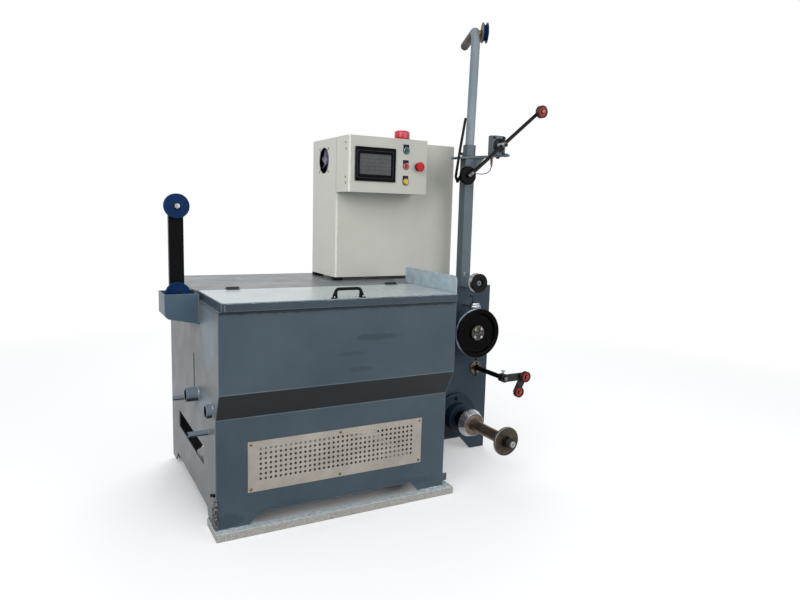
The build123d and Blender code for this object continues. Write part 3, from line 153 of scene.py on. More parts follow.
class Finish:
    # one material, filled in step by step: noise, cells and ramps feed one Principled shader

    def __init__(self, name, roughness=0.5, metallic=0.0, specular=0.5, coat=0.0, coatRoughness=0.1):
        # place is the Object coordinate that every pattern reads, height the last bump so far
        self.material = bpy.data.materials.new(name)
        self.material.use_nodes = True
        self.tree = self.material.node_tree
        self.shader = self.tree.nodes["Principled BSDF"]
        setSockets(self.shader, {"Roughness": roughness, "Metallic": metallic, "Specular IOR Level": specular,
                                 "Coat Weight": coat, "Coat Roughness": coatRoughness})
        self.place = self.tree.nodes.new("ShaderNodeTexCoord").outputs["Object"]
        self.height = None

    def add(self, kind, **values):
        # a new node of this kind, with its settings
        node = self.tree.nodes.new(kind)
        for key, value in values.items():
            setattr(node, key, value)
        return node

    def feed(self, socket, value):
        # a socket takes a link, a number or a colour
        if isinstance(value, bpy.types.NodeSocket):
            self.tree.links.new(value, socket)
        elif isinstance(value, (int, float)):
            socket.default_value = value
        else:
            socket.default_value = (*value, 1) if len(socket.default_value) == 4 else value

    def stretched(self, scale=(1, 1, 1), centre=(0, 0, 0), turn=(0, 0, 0)):
        # place' = turn(place * scale) - centre * scale
        node = self.add("ShaderNodeMapping", vector_type="POINT")
        setSockets(node, {"Location": [-c * s for c, s in zip(centre, scale)], "Rotation": turn, "Scale": scale})
        self.feed(node.inputs["Vector"], self.place)
        return node.outputs["Vector"]

    def noise(self, scale, detail=3.0, rough=0.55, stretch=None, distortion=0.0, turn=(0, 0, 0)):
        # soft noise round 0.5, with scale cells to the metre, drawn out along an axis where stretch is given
        node = self.add("ShaderNodeTexNoise")
        setSockets(node, {"Scale": scale, "Detail": detail, "Roughness": rough, "Distortion": distortion})
        self.feed(node.inputs["Vector"], self.stretched(stretch, turn=turn) if stretch else self.place)
        return node.outputs["Fac"]

    def cells(self, scale):
        # cells with a random colour each, scale of them to the metre
        node = self.add("ShaderNodeTexVoronoi")
        setSockets(node, {"Scale": scale})
        self.feed(node.inputs["Vector"], self.place)
        return node.outputs["Color"]

    def ramp(self, source, stops, constant=False):
        # the source picks a colour between the stops round it, or the stop below it where constant
        node = self.add("ShaderNodeValToRGB")
        ramp = node.color_ramp
        if constant:
            ramp.interpolation = "CONSTANT"
        while len(ramp.elements) < len(stops):
            ramp.elements.new(0.5)
        for element, (at, colour) in zip(ramp.elements, stops):
            element.position = at
            element.color = (*colour, 1)
        self.feed(node.inputs["Fac"], source)
        return node.outputs["Color"]

    def between(self, source, low, high, start=0.3, end=0.7):
        # low + (high - low) * clamp((source - start) / (end - start))
        node = self.add("ShaderNodeMapRange")
        setSockets(node, {"From Min": start, "From Max": end, "To Min": low, "To Max": high})
        self.feed(node.inputs["Value"], source)
        return node.outputs["Result"]

    def mix(self, factor, a, b, blend="MIX"):
        # a + factor * (b - a), or another blend of the two
        node = self.add("ShaderNodeMix", data_type="RGBA", blend_type=blend)
        for socket, value in zip([s for s in node.inputs if s.enabled], (factor, a, b)):
            self.feed(socket, value)
        return [s for s in node.outputs if s.enabled][0]

    def sum(self, a, b, operation="ADD"):
        # a + b, or another operation on the two
        node = self.add("ShaderNodeMath", operation=operation)
        for socket, value in zip(node.inputs, (a, b)):
            self.feed(socket, value)
        return node.outputs[0]

    def reach(self, centre, size=(1, 1, 1)):
        # |(place - centre) / size|, the distance from a point, or from an axis where a size is very large
        node = self.add("ShaderNodeVectorMath", operation="LENGTH")
        self.feed(node.inputs[0], self.stretched([1 / s for s in size], centre))
        return node.outputs["Value"]

    def upward(self):
        # how far a face looks up: the Z of its normal
        node = self.add("ShaderNodeSeparateXYZ")
        self.feed(node.inputs[0], self.add("ShaderNodeNewGeometry").outputs["Normal"])
        return node.outputs["Z"]

    def colour(self, socket):
        # what the base colour comes from
        self.feed(self.shader.inputs["Base Color"], socket)

    def rough(self, socket):
        # what the roughness comes from
        self.feed(self.shader.inputs["Roughness"], socket)

    def bump(self, source, strength, distance):
        # the source as height, laid over the bumps made before
        node = self.add("ShaderNodeBump")
        setSockets(node, {"Strength": strength, "Distance": distance})
        self.feed(node.inputs["Height"], source)
        if self.height:
            self.feed(node.inputs["Normal"], self.height)
        self.height = node.outputs["Normal"]
        self.feed(self.shader.inputs["Normal"], self.height)


def shade(hexText):
    # sRGB hex to linear: c/12.92 below 0.04045, else ((c + 0.055) / 1.055) ** 2.4
    values = [int(hexText[i:i + 2], 16) / 255 for i in (0, 2, 4)]
    return tuple(v / 12.92 if v <= 0.04045 else ((v + 0.055) / 1.055) ** 2.4 for v in values)


def shades(text):
    # several colours, from hex words with spaces between
    return [shade(part) for part in text.split()]


def paintFinish(name, tones, roughness=0.38, speckle=0.2, peel=0.1, coat=0.1, specular=0.35, grime=None,
                tintPatches=(), scratches=0.0, undersideShade=None):
    # colour = ramp(broad noise), then speckle, grime from a second noise, tint patches (staining, painted light
    # and painted shade), and painted shade on faces that look down
    dark, middle, light = shades(tones)
    f = Finish(name, roughness=roughness, coat=coat, coatRoughness=0.16, specular=specular)
    base = f.ramp(f.noise(2.4, 4.0, 0.6), [(0.25, dark), (0.5, middle), (0.78, light)])
    base = f.mix(f.between(f.noise(6.0, 4.0, 0.6, (3.0, 3.0, 0.5)), 0.0, 0.18, 0.5, 0.8), base, light)
    base = f.mix(f.between(f.noise(420.0, 2.0, 0.6), 0.0, speckle, 0.55, 0.75), base, dark)
    if grime:
        patches = f.between(f.noise(11.0, 6.0, 0.7, None, 0.6), 0.0, grime[0], 0.6, 0.72)
        base = f.mix(patches, base, shade(grime[1]))
    if scratches:
        lines = f.noise(1.0, 2.0, 0.5, (260.0, 260.0, 9.0), 0.3, (0.4, 0.5, 0.3))
        base = f.mix(f.between(lines, 0.0, scratches, 0.71, 0.74), base, light)
    edge = f.noise(38.0, 5.0, 0.7)
    # each patch lays its tone over a noisy ellipsoid: real staining, and painted light and shade where its list
    # holds them
    for centre, size, tone, strength in tintPatches:
        far = f.sum(f.reach(centre, size), f.sum(f.sum(edge, 0.5, "SUBTRACT"), 1.1, "MULTIPLY"))
        base = f.mix(f.between(far, strength, 0.0, 0.72, 1.06), base, shade(tone))
    # painted shade: faces that look down take the darker underside tone
    if undersideShade:
        base = f.mix(f.between(f.upward(), 0.85, 0.0, -0.4, -0.25), base, shade(undersideShade))
    f.colour(base)
    f.rough(f.between(f.noise(9.0, 5.0, 0.65), roughness - 0.06, roughness + 0.09))
    f.bump(f.noise(170.0, 3.0, 0.5), peel, 0.0006)
    return f.material


def metalFinish(name, tones, roughness=0.3, metallic=0.9, lay=(1, 1, 1), contrast=0.25, stain=None, scale=14.0,
                rings=None, bands=None, laySize=240.0, grain=None):
    # colour = ramp(noise), darker along the lay; rings = waves round an axis along Y; bands = tones by radius
    dark, middle, light = shades(tones)
    f = Finish(name, roughness=roughness, metallic=metallic, specular=0.4)
    base = f.ramp(f.noise(scale, 5.0, 0.65, grain), [(0.28, dark), (0.5, middle), (0.75, light)])
    if bands:
        centre, radius, steps = bands
        far = f.reach(centre, (radius, 1e6, radius))
        base = f.mix(f.between(far, 0.0, 1.0, steps[0], steps[0] + 0.02), base, shade(steps[1]))
    fine = f.noise(laySize, 3.0, 0.6, lay)
    base = f.mix(f.between(fine, 0.0, contrast, 0.45, 0.75), base, dark)
    if stain:
        patch = f.noise(23.0, 6.0, 0.7, None, 0.4)
        base = f.mix(f.between(patch, 0.0, stain[0], 0.5, 0.68), base, shade(stain[1]))
    f.colour(base)
    f.rough(f.between(f.noise(30.0, 4.0, 0.6), roughness - 0.08, roughness + 0.12))
    f.bump(fine, 0.12, 0.0004)
    if rings:
        wave = f.add("ShaderNodeMath", operation="SINE")
        f.feed(wave.inputs[0], f.sum(f.reach(rings[0], (1, 1e6, 1)), 2 * math.pi / rings[1], "MULTIPLY"))
        f.bump(wave.outputs[0], 0.35, rings[2])
    return f.material


def galvanisedFinish(name, sides, tops, spangle=0.12, grit=0.35, scale=260.0, roughness=0.5):
    # colour = one zinc tone on upright faces and a paler, bluer one on top faces as a painted sky reflection, with
    # grit and a faint spangle
    f = Finish(name, roughness=roughness, metallic=0.35, specular=0.4)
    sides, tops = shades(sides), shades(tops)
    grain = f.noise(scale, 4.0, 0.7)
    side = f.ramp(grain, list(zip((0.3, 0.5, 0.7), sides)))
    top = f.ramp(f.noise(60.0, 5.0, 0.7), list(zip((0.3, 0.5, 0.72), tops)))
    base = f.mix(f.between(f.upward(), 0.0, 1.0, 0.3, 0.7), side, top)
    base = f.mix(spangle, base, f.ramp(f.cells(90.0), [(0.1, sides[1]), (0.9, tops[2])]))
    f.colour(base)
    f.rough(f.between(grain, roughness - 0.1, roughness + 0.2))
    f.bump(grain, grit, 0.0012)
    return f.material


def plasticFinish(name, tones, roughness=0.3, texture=0.1, scale=600.0, coat=0.0, specular=0.4, ramp=None):
    # colour = ramp(noise) between two near shades, with a pale or dark end by height where a ramp is given
    dark, light = shades(tones)
    f = Finish(name, roughness=roughness, coat=coat, coatRoughness=0.08, specular=specular)
    base = f.ramp(f.noise(35.0, 4.0, 0.6), [(0.3, dark), (0.7, light)])
    if ramp:
        node = f.add("ShaderNodeSeparateXYZ")
        f.feed(node.inputs[0], f.place)
        base = f.mix(f.between(node.outputs["Z"], 1.0, 0.0, ramp[0], ramp[1]), base, shade(ramp[2]))
    f.colour(base)
    f.rough(f.between(f.noise(60.0, 4.0, 0.6), max(roughness - 0.05, 0.02), roughness + 0.08))
    f.bump(f.noise(scale, 2.0, 0.5), texture, 0.0003)
    return f.material


def screenFinish(name, tones, lineTone):
    # dark grey glass with the faint outlines of a row of blank fields, as a brick pattern in X and Z
    dark, light = shades(tones)
    f = Finish(name, roughness=0.2, coat=0.03, coatRoughness=0.05, specular=0.1)
    brick = f.add("ShaderNodeTexBrick", offset=0.35)
    setSockets(brick, {"Scale": 1.0, "Mortar Size": 0.0011, "Mortar Smooth": 0.3, "Brick Width": 0.031,
                       "Row Height": 0.0165})
    f.feed(brick.inputs["Vector"], f.stretched(turn=(math.pi / 2, 0, 0)))
    f.colour(f.mix(brick.outputs["Fac"], f.ramp(f.noise(20.0), [(0.3, dark), (0.7, light)]), shade(lineTone)))
    return f.material


leftStainsAndShade = [  # centre, size, tone, strength: weld sooting low down, rust, touched-up and rubbed paint, and a painted shade line below the lid's edge
    ((-0.475, 0.03, 0.074), (0.05, 0.034, 0.074), "232323", 0.9),
    ((-0.475, 0.07, 0.425), (0.05, 0.016, 0.024), "6B5546", 0.7),
    ((-0.475, 0.058, 0.34), (0.05, 0.004, 0.09), "66605A", 0.35),
    ((-0.475, 0.16, 0.462), (0.05, 0.115, 0.044), "6F8391", 0.65),
    ((-0.475, 0.12, 0.72), (0.05, 0.1, 0.13), "6C808E", 0.55),
    ((-0.475, 0.44, 0.53), (0.05, 0.12, 0.03), "6A737A", 0.25),
    ((-0.475, 0.3, 0.735), (0.05, 0.06, 0.016), "5A5A57", 0.4),
    ((-0.475, 0.19, 0.25), (0.05, 0.03, 0.06), "6C675E", 0.3),
    # a thin dark band just below the lid's edge: painted shade of the lid's overhang
    ((-0.475, 0.2, 0.826), (0.05, 0.6, 0.006), "3A3E40", 0.5),
]
frontStainsAndShade = [
    ((-0.2, 0.0115, 0.08), (0.1, 0.2, 0.022), "33424F", 0.6),
    ((0.3, 0.0115, 0.075), (0.12, 0.2, 0.02), "33424F", 0.6),
    ((-0.43, 0.0115, 0.06), (0.06, 0.2, 0.03), "2C3945", 0.6),
    # a dark band just below the lid's edge: painted shadow of the lid
    ((0.0, -0.0435, 0.83), (3.0, 0.2, 0.014), "15191D", 0.8),
    ((0.117, -0.0435, 0.708), (0.105, 0.2, 0.015), "2C3841", 0.65),
    ((0.021, -0.0435, 0.65), (0.075, 0.2, 0.009), "313D46", 0.55),
    ((0.057, -0.0435, 0.588), (0.048, 0.2, 0.01), "313D46", 0.55),
]
# brown and near-black patches on the crook's level leg: staining, deepened with painted shade where the leg lies
# in shadow
pipeStainsAndShade = [((0.905, 0.59, 2.016), (0.12, 0.17, 0.048), "3C2E1B", 0.95),
              ((0.958, 0.695, 2.02), (0.08, 0.08, 0.05), "17140E", 0.85)]
# a pale tone on the lid's top face: a painted sheen of the light it reflects
lidTopSheen = [((0, 0.16, 0.8605), (40, 40, 0.0038), "ABB4B7", 0.95)]
# a pale tone on the cabinet's and control box's left faces: painted light on their lit side
boxLeftSideLight = [((0.183, 0.6, 1.2), (0.012, 40, 40), "D5D5CA", 0.95)]
finishes = {
    # painted shade: the front's downward faces, such as the undercut band, take a near-black tone
    "front": paintFinish("frontPaint", "37444D 3F4D56 495760", specular=0.18, tintPatches=frontStainsAndShade, scratches=0.35,
        undersideShade="090B0D"),
    # the left wall's paint is a lighter, warmer grey than the front's: a warmer tone of its own, lightened further
    # as painted light on the side the key lamp falls on
    "side": paintFinish("sidePaint", "5B6063 646A6E 71777B", 0.42, 0.2, 0.1, 0.05, 0.25, tintPatches=leftStainsAndShade,
        scratches=0.3),
    "rightSide": paintFinish("rightSidePaint", "38454E 404E57 4A5861", specular=0.2, scratches=0.3),
    # the pale paint on rounded edges is partly paint worn thin and partly a painted highlight along the edges
    "panelEdge": paintFinish("wornPaintEdgeAndHighlight", "4E5C64 5B6971 6D7A80", 0.35, 0.3, 0.2, specular=0.2),
    "lid": paintFinish("lidPaint", "2D3841 343F49 3D4952", 0.26, 0.06, 0.04, 0.1, 0.2, tintPatches=lidTopSheen),
    "deck": paintFinish("deckPaint", "52585E 5C6268 676D73", 0.3, 0.08, 0.05, 0.0, 0.22, grime=(0.15, "45484C")),
    # a darker copy of the mast's blue-grey: the take-up plate, housing and trough wear the same paint, painted
    # darker as shade
    "takeup": paintFinish("takeupPaint", "28343F 303F4B 3A4955", 0.36, 0.2, 0.1, 0.05, 0.2, scratches=0.3),
    "tray": paintFinish("trayPaint", "415260 495B6A 556775", specular=0.2, scratches=0.3),
    "mast": paintFinish("mastPaint", "465259 505C63 5D6A70", 0.36, 0.2, 0.12, 0.05, 0.2, grime=(0.35, "3E484E")),
    "pipe": paintFinish("crookPaint", "75808A 808C94 929C9F", 0.4, 0.04, 0.03, 0.0, 0.06, tintPatches=pipeStainsAndShade),
    # painted shade: the stubs' undersides take a near-black tone
    "stub": paintFinish("stubPaint", "55626C 6A7781 8E9AA4", 0.36, 0.3, 0.3, 0.05, 0.2, grime=(0.5, "383C3F"),
        undersideShade="15181B"),
    "cabinet": paintFinish("cabinetPaint", "ADADA4 B4B4AB BBBBB2", 0.46, 0.1, 0.35, 0.0, 0.35, tintPatches=boxLeftSideLight),
    # a paler cream on the rounded edges of the cabinet and box and on the fan opening's lip: painted highlight
    # along the edges
    "cabinetEdge": paintFinish("cabinetEdgeHighlight", "C4C4BA CCCCC2 D4D4CA", 0.42, 0.1, 0.3, 0.0, 0.35),
    "controlBox": paintFinish("controlBoxPaint", "A5A59C ADADA4 B3B3AA", 0.46, 0.1, 0.35, 0.0, 0.35,
        tintPatches=boxLeftSideLight),
    # the rail's pale bluish top tone is a painted sky reflection
    "rail": galvanisedFinish("railZinc", "5F5D58 93918B D0CFCB", "9BA8AE BBC7CC E0E8EB", 0.12, 0.5, 300.0),
    "guard": galvanisedFinish("guardZinc", "98A8B2 A8B8C0 B7C6CE", "A4B1B8 B4C0C6 C3CED3", 0.06, 0.1, 30.0, 0.42),
    "stainless": metalFinish("stainlessSheet", "8F8880 A09991 AFA9A1", 0.38, 0.55, (0.03, 1, 1), 0.2, None, 6.0),
    "bright": metalFinish("brightSteel", "6F6F70 A2A3A4 CFD0D1", 0.22, 0.95),
    "silver": metalFinish("silverPlating", "7A7E82 A2A6A9 C8CBCD", 0.2, 0.95, contrast=0.1),
    "hubBronze": metalFinish("hubBronze", "1F1C18 45413A 7E766A", 0.3, 0.85, contrast=0.4, scale=90.0),
    "tarnished": metalFinish("tarnishedSteel", "4A4038 6E6156 908173", 0.34, 0.8, (1, 0.05, 1), 0.35,
        (0.5, "50443B")),
    "discFace": metalFinish("discSteel", "26211C 41392F 5E5548", 0.4, 0.7, (1, 1, 1), 0.35, (0.45, "2A231C"),
        rings=((0.783, 0, 0.188), 0.0022, 0.00012), bands=((0.783, 0, 0.188), 0.065, (0.95, "7F7D79"))),
    # the cone's tone runs in long bright and dark streaks along its slope: painted reflections
    "cone": metalFinish("coneSteel", "9EA2A8 C0C4CA E6E8EC", 0.26, 0.9, contrast=0.03, scale=1.0,
        rings=((0.783, 0, 0.188), 0.0016, 0.000005), grain=(20.0, 2.0, 20.0)),
    "rollerFace": metalFinish("rollerSteel", "141312 1E1D1C 33312F", 0.32, 0.6, contrast=0.2, scale=50.0),
    "rollerRim": metalFinish("rollerRimSteel", "3E3D3C 63615E 8C8A86", 0.26, 0.9, contrast=0.15, scale=40.0),
    "blackPaint": paintFinish("blackPaint", "07080A 0B0C0F 141519", 0.32, 0.2, 0.2, 0.0, 0.05),
    "blackGloss": paintFinish("capstanBlack", "040405 070708 0D0D0F", 0.22, 0.15, 0.12, 0.0, 0.04),
    "cast": paintFinish("castBlack", "151719 1E2123 2C3034", 0.4, 0.3, 0.5, 0.0, 0.08, grime=(0.5, "33291F")),
    "housing": paintFinish("spindleHousingPaint", "18222D 22303D 30404F", 0.34, 0.2, 0.2, 0.05, 0.15,
        grime=(0.5, "33291F")),
    "neck": metalFinish("blackedNeck", "06070A 0D0F14 1B1F27", 0.16, 0.7, contrast=0.15),
    "rod": metalFinish("traverseRod", "0C1014 12181E 1D2731", 0.22, 0.6, contrast=0.1),
    "armPlate": paintFinish("armPlateBlack", "0C0B0B 141312 211D1A", 0.34, 0.3, 0.3, 0.0, 0.28,
        grime=(0.6, "33231A")),
    "hook": paintFinish("hookBarPaint", "0C0A07 17140E 29241A", 0.34, 0.35, 0.4, 0.0, 0.06, grime=(0.5, "3A3322")),
    "navy": paintFinish("navyPaint", "081E3C 0B2950 12355F", 0.3, 0.25, 0.12, 0.0, 0.08),
    "bronze": metalFinish("bronze", "3B3328 6E6250 9C8C72", 0.36, 0.85, contrast=0.3, stain=(0.6, "2C241B"),
        scale=60.0),
    "brass": metalFinish("brass", "463A22 7A6A48 B09560", 0.32, 0.9, contrast=0.3, stain=(0.4, "3B3120"),
        scale=60.0),
    "plastic": plasticFinish("blackPlastic", "060607 0C0C0E", 0.34, 0.12, specular=0.08),
    "rubber": plasticFinish("blackRubber", "08080A 101012", 0.6, 0.2, specular=0.08),
    "bezel": plasticFinish("glossBezel", "030405 07080A", 0.2, 0.03, 300.0, 0.0, 0.02),
    # the lavender light end of the blade tones is a painted reflection on the glossy blades
    "fan": plasticFinish("fanPlastic", "2E2540 77708F", 0.12, 0.02, 200.0, 0.1, 0.3),
    "cable": plasticFinish("cableJacket", "0A0906 15120C", 0.45, 0.1, specular=0.05),
    "green": plasticFinish("greenButton", "19524B 206056", 0.3, 0.05, 500.0, 0.0, 0.1),
    "red": plasticFinish("redButton", "A81824 BC2430", 0.34, 0.05, 500.0, 0.0, 0.1),
    "yellow": plasticFinish("yellowButton", "C9980F DDAF22", 0.3, 0.05, 500.0, 0.0, 0.1),
    "beacon": plasticFinish("beaconLens", "CE3348 E25468", 0.16, 0.04, 200.0, 0.3, 0.35, (1.512, 1.538, "A50E1D")),
    "seal": plasticFinish("bearingSealRed", "A8241C C7312A", 0.4, 0.1, specular=0.1),
    "weld": metalFinish("weldMetal", "5E6870 8D979D BCC5CA", 0.34, 0.7, contrast=0.3, stain=(0.5, "4C4843"),
        scale=80.0),
    # near-black pieces in bores, slots, gaps and open ends: painted shade in the hollows
    "holeShade": plasticFinish("paintedHoleShade", "040404 080808", 0.8, 0.1, specular=0.1),
    "seam": plasticFinish("seamShadow", "8C8C82 A0A096", 0.7, 0.1, specular=0.1),
    "legend": plasticFinish("legendBlack", "0B1018 141C2A", 0.35, 0.08, specular=0.1),
    "beaconBase": plasticFinish("beaconBase", "8E1018 A8141F", 0.3, 0.05, 300.0, 0.0, 0.15),
    "sootWeld": metalFinish("sootedWeld", "0C0C0C 3A3937 D6D6D2", 0.5, 0.3, contrast=0.8, scale=150.0),
    "rodBlack": paintFinish("rodBlack", "070708 0C0C0D 171615", 0.18, 0.2, 0.08, 0.0, 0.12),
    # bright steel whose bluish tint is a painted reflection of the sky
    "grooveSteel": metalFinish("grooveSteel", "4A5262 6B7484 98A0AE", 0.2, 0.9, contrast=0.15, scale=20.0),
    "glass": screenFinish("screenGlass", "404142 494A4B", "333436"),
    "drum": metalFinish("ridgedDrum", "54565A 8E9297 C6CACD", 0.24, 0.9, contrast=0.1, scale=25.0),
    "rust": paintFinish("rustyPipe", "6B5A45 7F6B52 958067", 0.5, 0.4, 0.3, 0.0, 0.15, grime=(0.7, "5C4631")),
    "nut": metalFinish("nutSteel", "100E0C 1E1B17 37312A", 0.36, 0.6, contrast=0.3, scale=60.0),
    # a lighter black for the frame's rim and step: painted highlights along the bezel's edges
    "bezelEdge": plasticFinish("bezelEdge", "24262A 34363B", 0.25, 0.03, 300.0, 0.0, 0.1),
    # a pale, mostly diffuse tone: the polished shaft's brightness painted in as colour in place of its reflection
    "shaft": metalFinish("polishedShaft", "A9ACB4 CDD0D8 ECEEF4", 0.28, 0.35, contrast=0.05),
    "hinge": paintFinish("hingePaint", "2A2F33 33393E 3F464C", 0.36, 0.2, 0.1, 0.0, 0.1),
    "guideFront": paintFinish("guidePulleyBlack", "060606 0B0B0A 161514", 0.3, 0.3, 0.2, 0.0, 0.08),
}
print("finishes:", len(finishes))

# Mesh making

made = {"pieces": 0}
toLeft, toRight, toFront, toBack, toFloor, toTop = (
    (-1, 0, 0), (1, 0, 0), (0, -1, 0), (0, 1, 0), (0, 0, -1), (0, 0, 1))


def place(obj, finish, slotName, body="machine"):
    # an added piece: its material and the body it rides on; slotName, the record's slot that its finish belongs
    # to, is not used
    obj.data.materials.clear()
    obj.data.materials.append(finishes[finish])
    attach(obj, body)
    made["pieces"] += 1


def standIn(obj, finish, node, slotName=None):
    # a piece that takes a solid's place, on the solid's body
    place(obj, finish, slotName or slotOf[node], bodyOf[node])
    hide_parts(node)


def unit(rows):
    # v / |v|, for one vector or for each row of an array
    return rows / np.linalg.norm(rows, axis=-1, keepdims=True)


def smoothed(data, angle):
    # rounded shading, with edges past the angle kept sharp
    data.shade_smooth()
    data.set_sharp_from_angle(angle=math.radians(angle))


def meshObject(name, points, faces, **limits):
    # an object with these points and faces, closed up and smoothed
    data = bpy.data.meshes.new(name)
    data.from_pydata(np.asarray(points, float).reshape(-1, 3).tolist(), [], faces)
    closeUp(data, **limits)
    return linked(name, data)


def closeUp(data, merge=1e-6, angle=38):
    # doubles merged, edges of no length dropped, faces turned outwards
    work = bmesh.new()
    work.from_mesh(data)
    bmesh.ops.remove_doubles(work, verts=work.verts, dist=merge)
    bmesh.ops.dissolve_degenerate(work, edges=work.edges, dist=merge)
    bmesh.ops.recalc_face_normals(work, faces=work.faces)
    work.to_mesh(data)
    work.free()
    smoothed(data, angle)


def gridFaces(rows, columns, closedRows=False):
    # quads of a grid whose columns close: p(i,j), p(i,j+1), p(i+1,j+1), p(i+1,j)
    i, j = np.meshgrid(np.arange(rows if closedRows else rows - 1), np.arange(columns), indexing="ij")
    right, below = (j + 1) % columns, (i + 1) % rows
    quads = np.stack([i * columns + j, i * columns + right, below * columns + right, below * columns + j], -1)
    return quads.reshape(-1, 4).tolist()


def capped(rows, columns):
    # the grid's quads and one flat face at each end
    first = list(range(columns))
    return gridFaces(rows, columns) + [first[::-1], [(rows - 1) * columns + k for k in first]]


def axesFor(direction):
    # e3 along the direction, e1 = side x e3, e2 = e3 x e1
    along = unit(np.asarray(direction, float))
    side = np.array([0, 0, 1.0]) if abs(along[2]) < 0.9 else np.array([1.0, 0, 0])
    first = unit(np.cross(side, along))
    return first, np.cross(along, first), along


def softened(profile, radius, closed=False, steps=3):
    # each corner becomes a quadratic arc: p(t) = (1-t)^2 a + 2t(1-t) corner + t^2 b
    pts = np.asarray(profile, float)
    if closed:
        pts = np.concatenate([pts[-1:], pts, pts[:1]])
    out = [] if closed else [pts[0]]
    for before, corner, after in zip(pts[:-2], pts[1:-1], pts[2:]):
        la, lb = np.linalg.norm(before - corner), np.linalg.norm(after - corner)
        cut = min(radius, 0.45 * la, 0.45 * lb)
        a, b = corner + (before - corner) / la * cut, corner + (after - corner) / lb * cut
        t = np.linspace(0, 1, steps + 1)[:, None]
        out.extend((1 - t) ** 2 * a + 2 * t * (1 - t) * corner + t ** 2 * b)
    return np.array(out if closed else out + [pts[-1]])


def lathe(name, centre, direction, profile, soft=0.0008, segments=64, wave=None, closed=None):
    # p(u, v) = centre + t(v) e3 + r(v) (1 + depth cos(count u)) (cos u e1 + sin u e2), profile in (r, t);
    # a profile with neither end on the axis closes on itself
    if closed is None:
        closed = min(profile[0][0], profile[-1][0]) > 0
    e1, e2, e3 = axesFor(direction)
    shape = softened(profile, soft, closed) if soft else np.asarray(profile, float)
    u = np.linspace(0, 2 * math.pi, segments, endpoint=False)
    swell = 1 + wave[0] * np.cos(wave[1] * u) if wave else np.ones(segments)
    r, t = shape[:, :1, None], shape[:, 1:, None]
    points = np.asarray(centre, float) + t * e3 + r * swell[None, :, None] * (
        np.cos(u)[None, :, None] * e1 + np.sin(u)[None, :, None] * e2)
    return meshObject(name, points, gridFaces(len(shape), segments, closed))


def mm(profile):
    # a profile written in millimetres
    return np.array(profile) / 1000


def turned(name, centre, profile, *options, **more):
    # a solid of turning about an axis along Y, its profile in (radius, world Y)
    return lathe(name, centre, toBack, [(r, y - centre[1]) for r, y in profile], *options, **more)


def makeTurned(centre, rows):
    # each row: finish, the solid it stands for or its slot and body, soft edge, segments, profile in mm
    for name, (finish, owner, soft, segments, profile) in rows.items():
        obj = turned(name, centre, mm(profile), soft, segments)
        if isinstance(owner, str):
            standIn(obj, finish, owner)
        else:
            place(obj, finish, *owner)


def offsetLoop(loop, inward):
    # corner' = corner + d (n1 + n2) / (1 + n1.n2), n1 and n2 the inward normals of the two sides
    loop = np.asarray(loop, float)
    after, before = np.roll(loop, -1, 0), np.roll(loop, 1, 0)
    sign = 1.0 if np.sum(loop[:, 0] * after[:, 1] - after[:, 0] * loop[:, 1]) > 0 else -1.0
    n1, n2 = (sign * unit(np.stack([-d[:, 1], d[:, 0]], 1)) for d in (loop - before, after - loop))
    return loop + inward * (n1 + n2) / (1 + np.sum(n1 * n2, 1))[:, None]


def roundedLoop(width, height, radius, centre=(0, 0), steps=5):
    # corner centre + radius (cos a, sin a), anticlockwise
    out = []
    for sx, sy, start in [(1, 1, 0), (-1, 1, 90), (-1, -1, 180), (1, -1, 270)]:
        a = np.radians(np.linspace(start, start + 90, steps + 1))
        out.append(np.stack([sx * (width / 2 - radius) + radius * np.cos(a),
                             sy * (height / 2 - radius) + radius * np.sin(a)], 1))
    return np.concatenate(out) + np.asarray(centre, float)


def circleLoop(radius, segments=48, start=0.0):
    # points radius * (cos a, sin a), with a in equal steps from start
    a = start + np.linspace(0, 2 * math.pi, segments, endpoint=False)
    return np.stack([radius * np.cos(a), radius * np.sin(a)], 1)


def slab(name, loop, origin, right, up, thickness, edge=0.0006, steps=3):
    # rings offset(loop, edge (1 - sin a)) at depth edge (1 - cos a), from both faces, along right x up
    right, up = np.asarray(right, float), np.asarray(up, float)
    out = np.cross(right, up)
    a = np.linspace(0, math.pi / 2, steps + 1)
    rings = [(edge * (1 - math.sin(x)), edge * (1 - math.cos(x))) for x in a]
    rings += [(inset, thickness - depth) for inset, depth in reversed(rings)]
    stack = []
    for inset, depth in rings:
        flat = offsetLoop(loop, inset) if inset > 1e-9 else np.asarray(loop, float)
        stack.append(np.asarray(origin, float) + flat[:, :1] * right + flat[:, 1:] * up + depth * out)
    return meshObject(name, np.array(stack), capped(len(stack), len(loop)))


def facing(name, loop, spot, thickness, edge=0.0006):
    # a plate drawn in X and Z that stands proud of an upright face, towards -Y
    return slab(name, loop, spot, toRight, toTop, thickness, edge)


def frameRing(name, outer, inner, spot, thickness, edge=0.0006):
    # a flat frame between two loops of equal count: section corners outer/inner at depth 0 and thickness
    loops = [(outer, 0, 0), (outer, 0, thickness - edge), (outer, edge, thickness), (inner, -edge, thickness),
             (inner, 0, thickness - edge), (inner, 0, 0)]
    stack = []
    for loop, inset, depth in loops:
        flat = offsetLoop(loop, inset) if inset else np.asarray(loop, float)
        across, level = spot[0] + flat[:, 0], spot[2] + flat[:, 1]
        stack.append(np.stack([across, np.full(len(flat), spot[1] - depth), level], 1))
    return meshObject(name, np.array(stack), gridFaces(len(stack), len(outer), True))


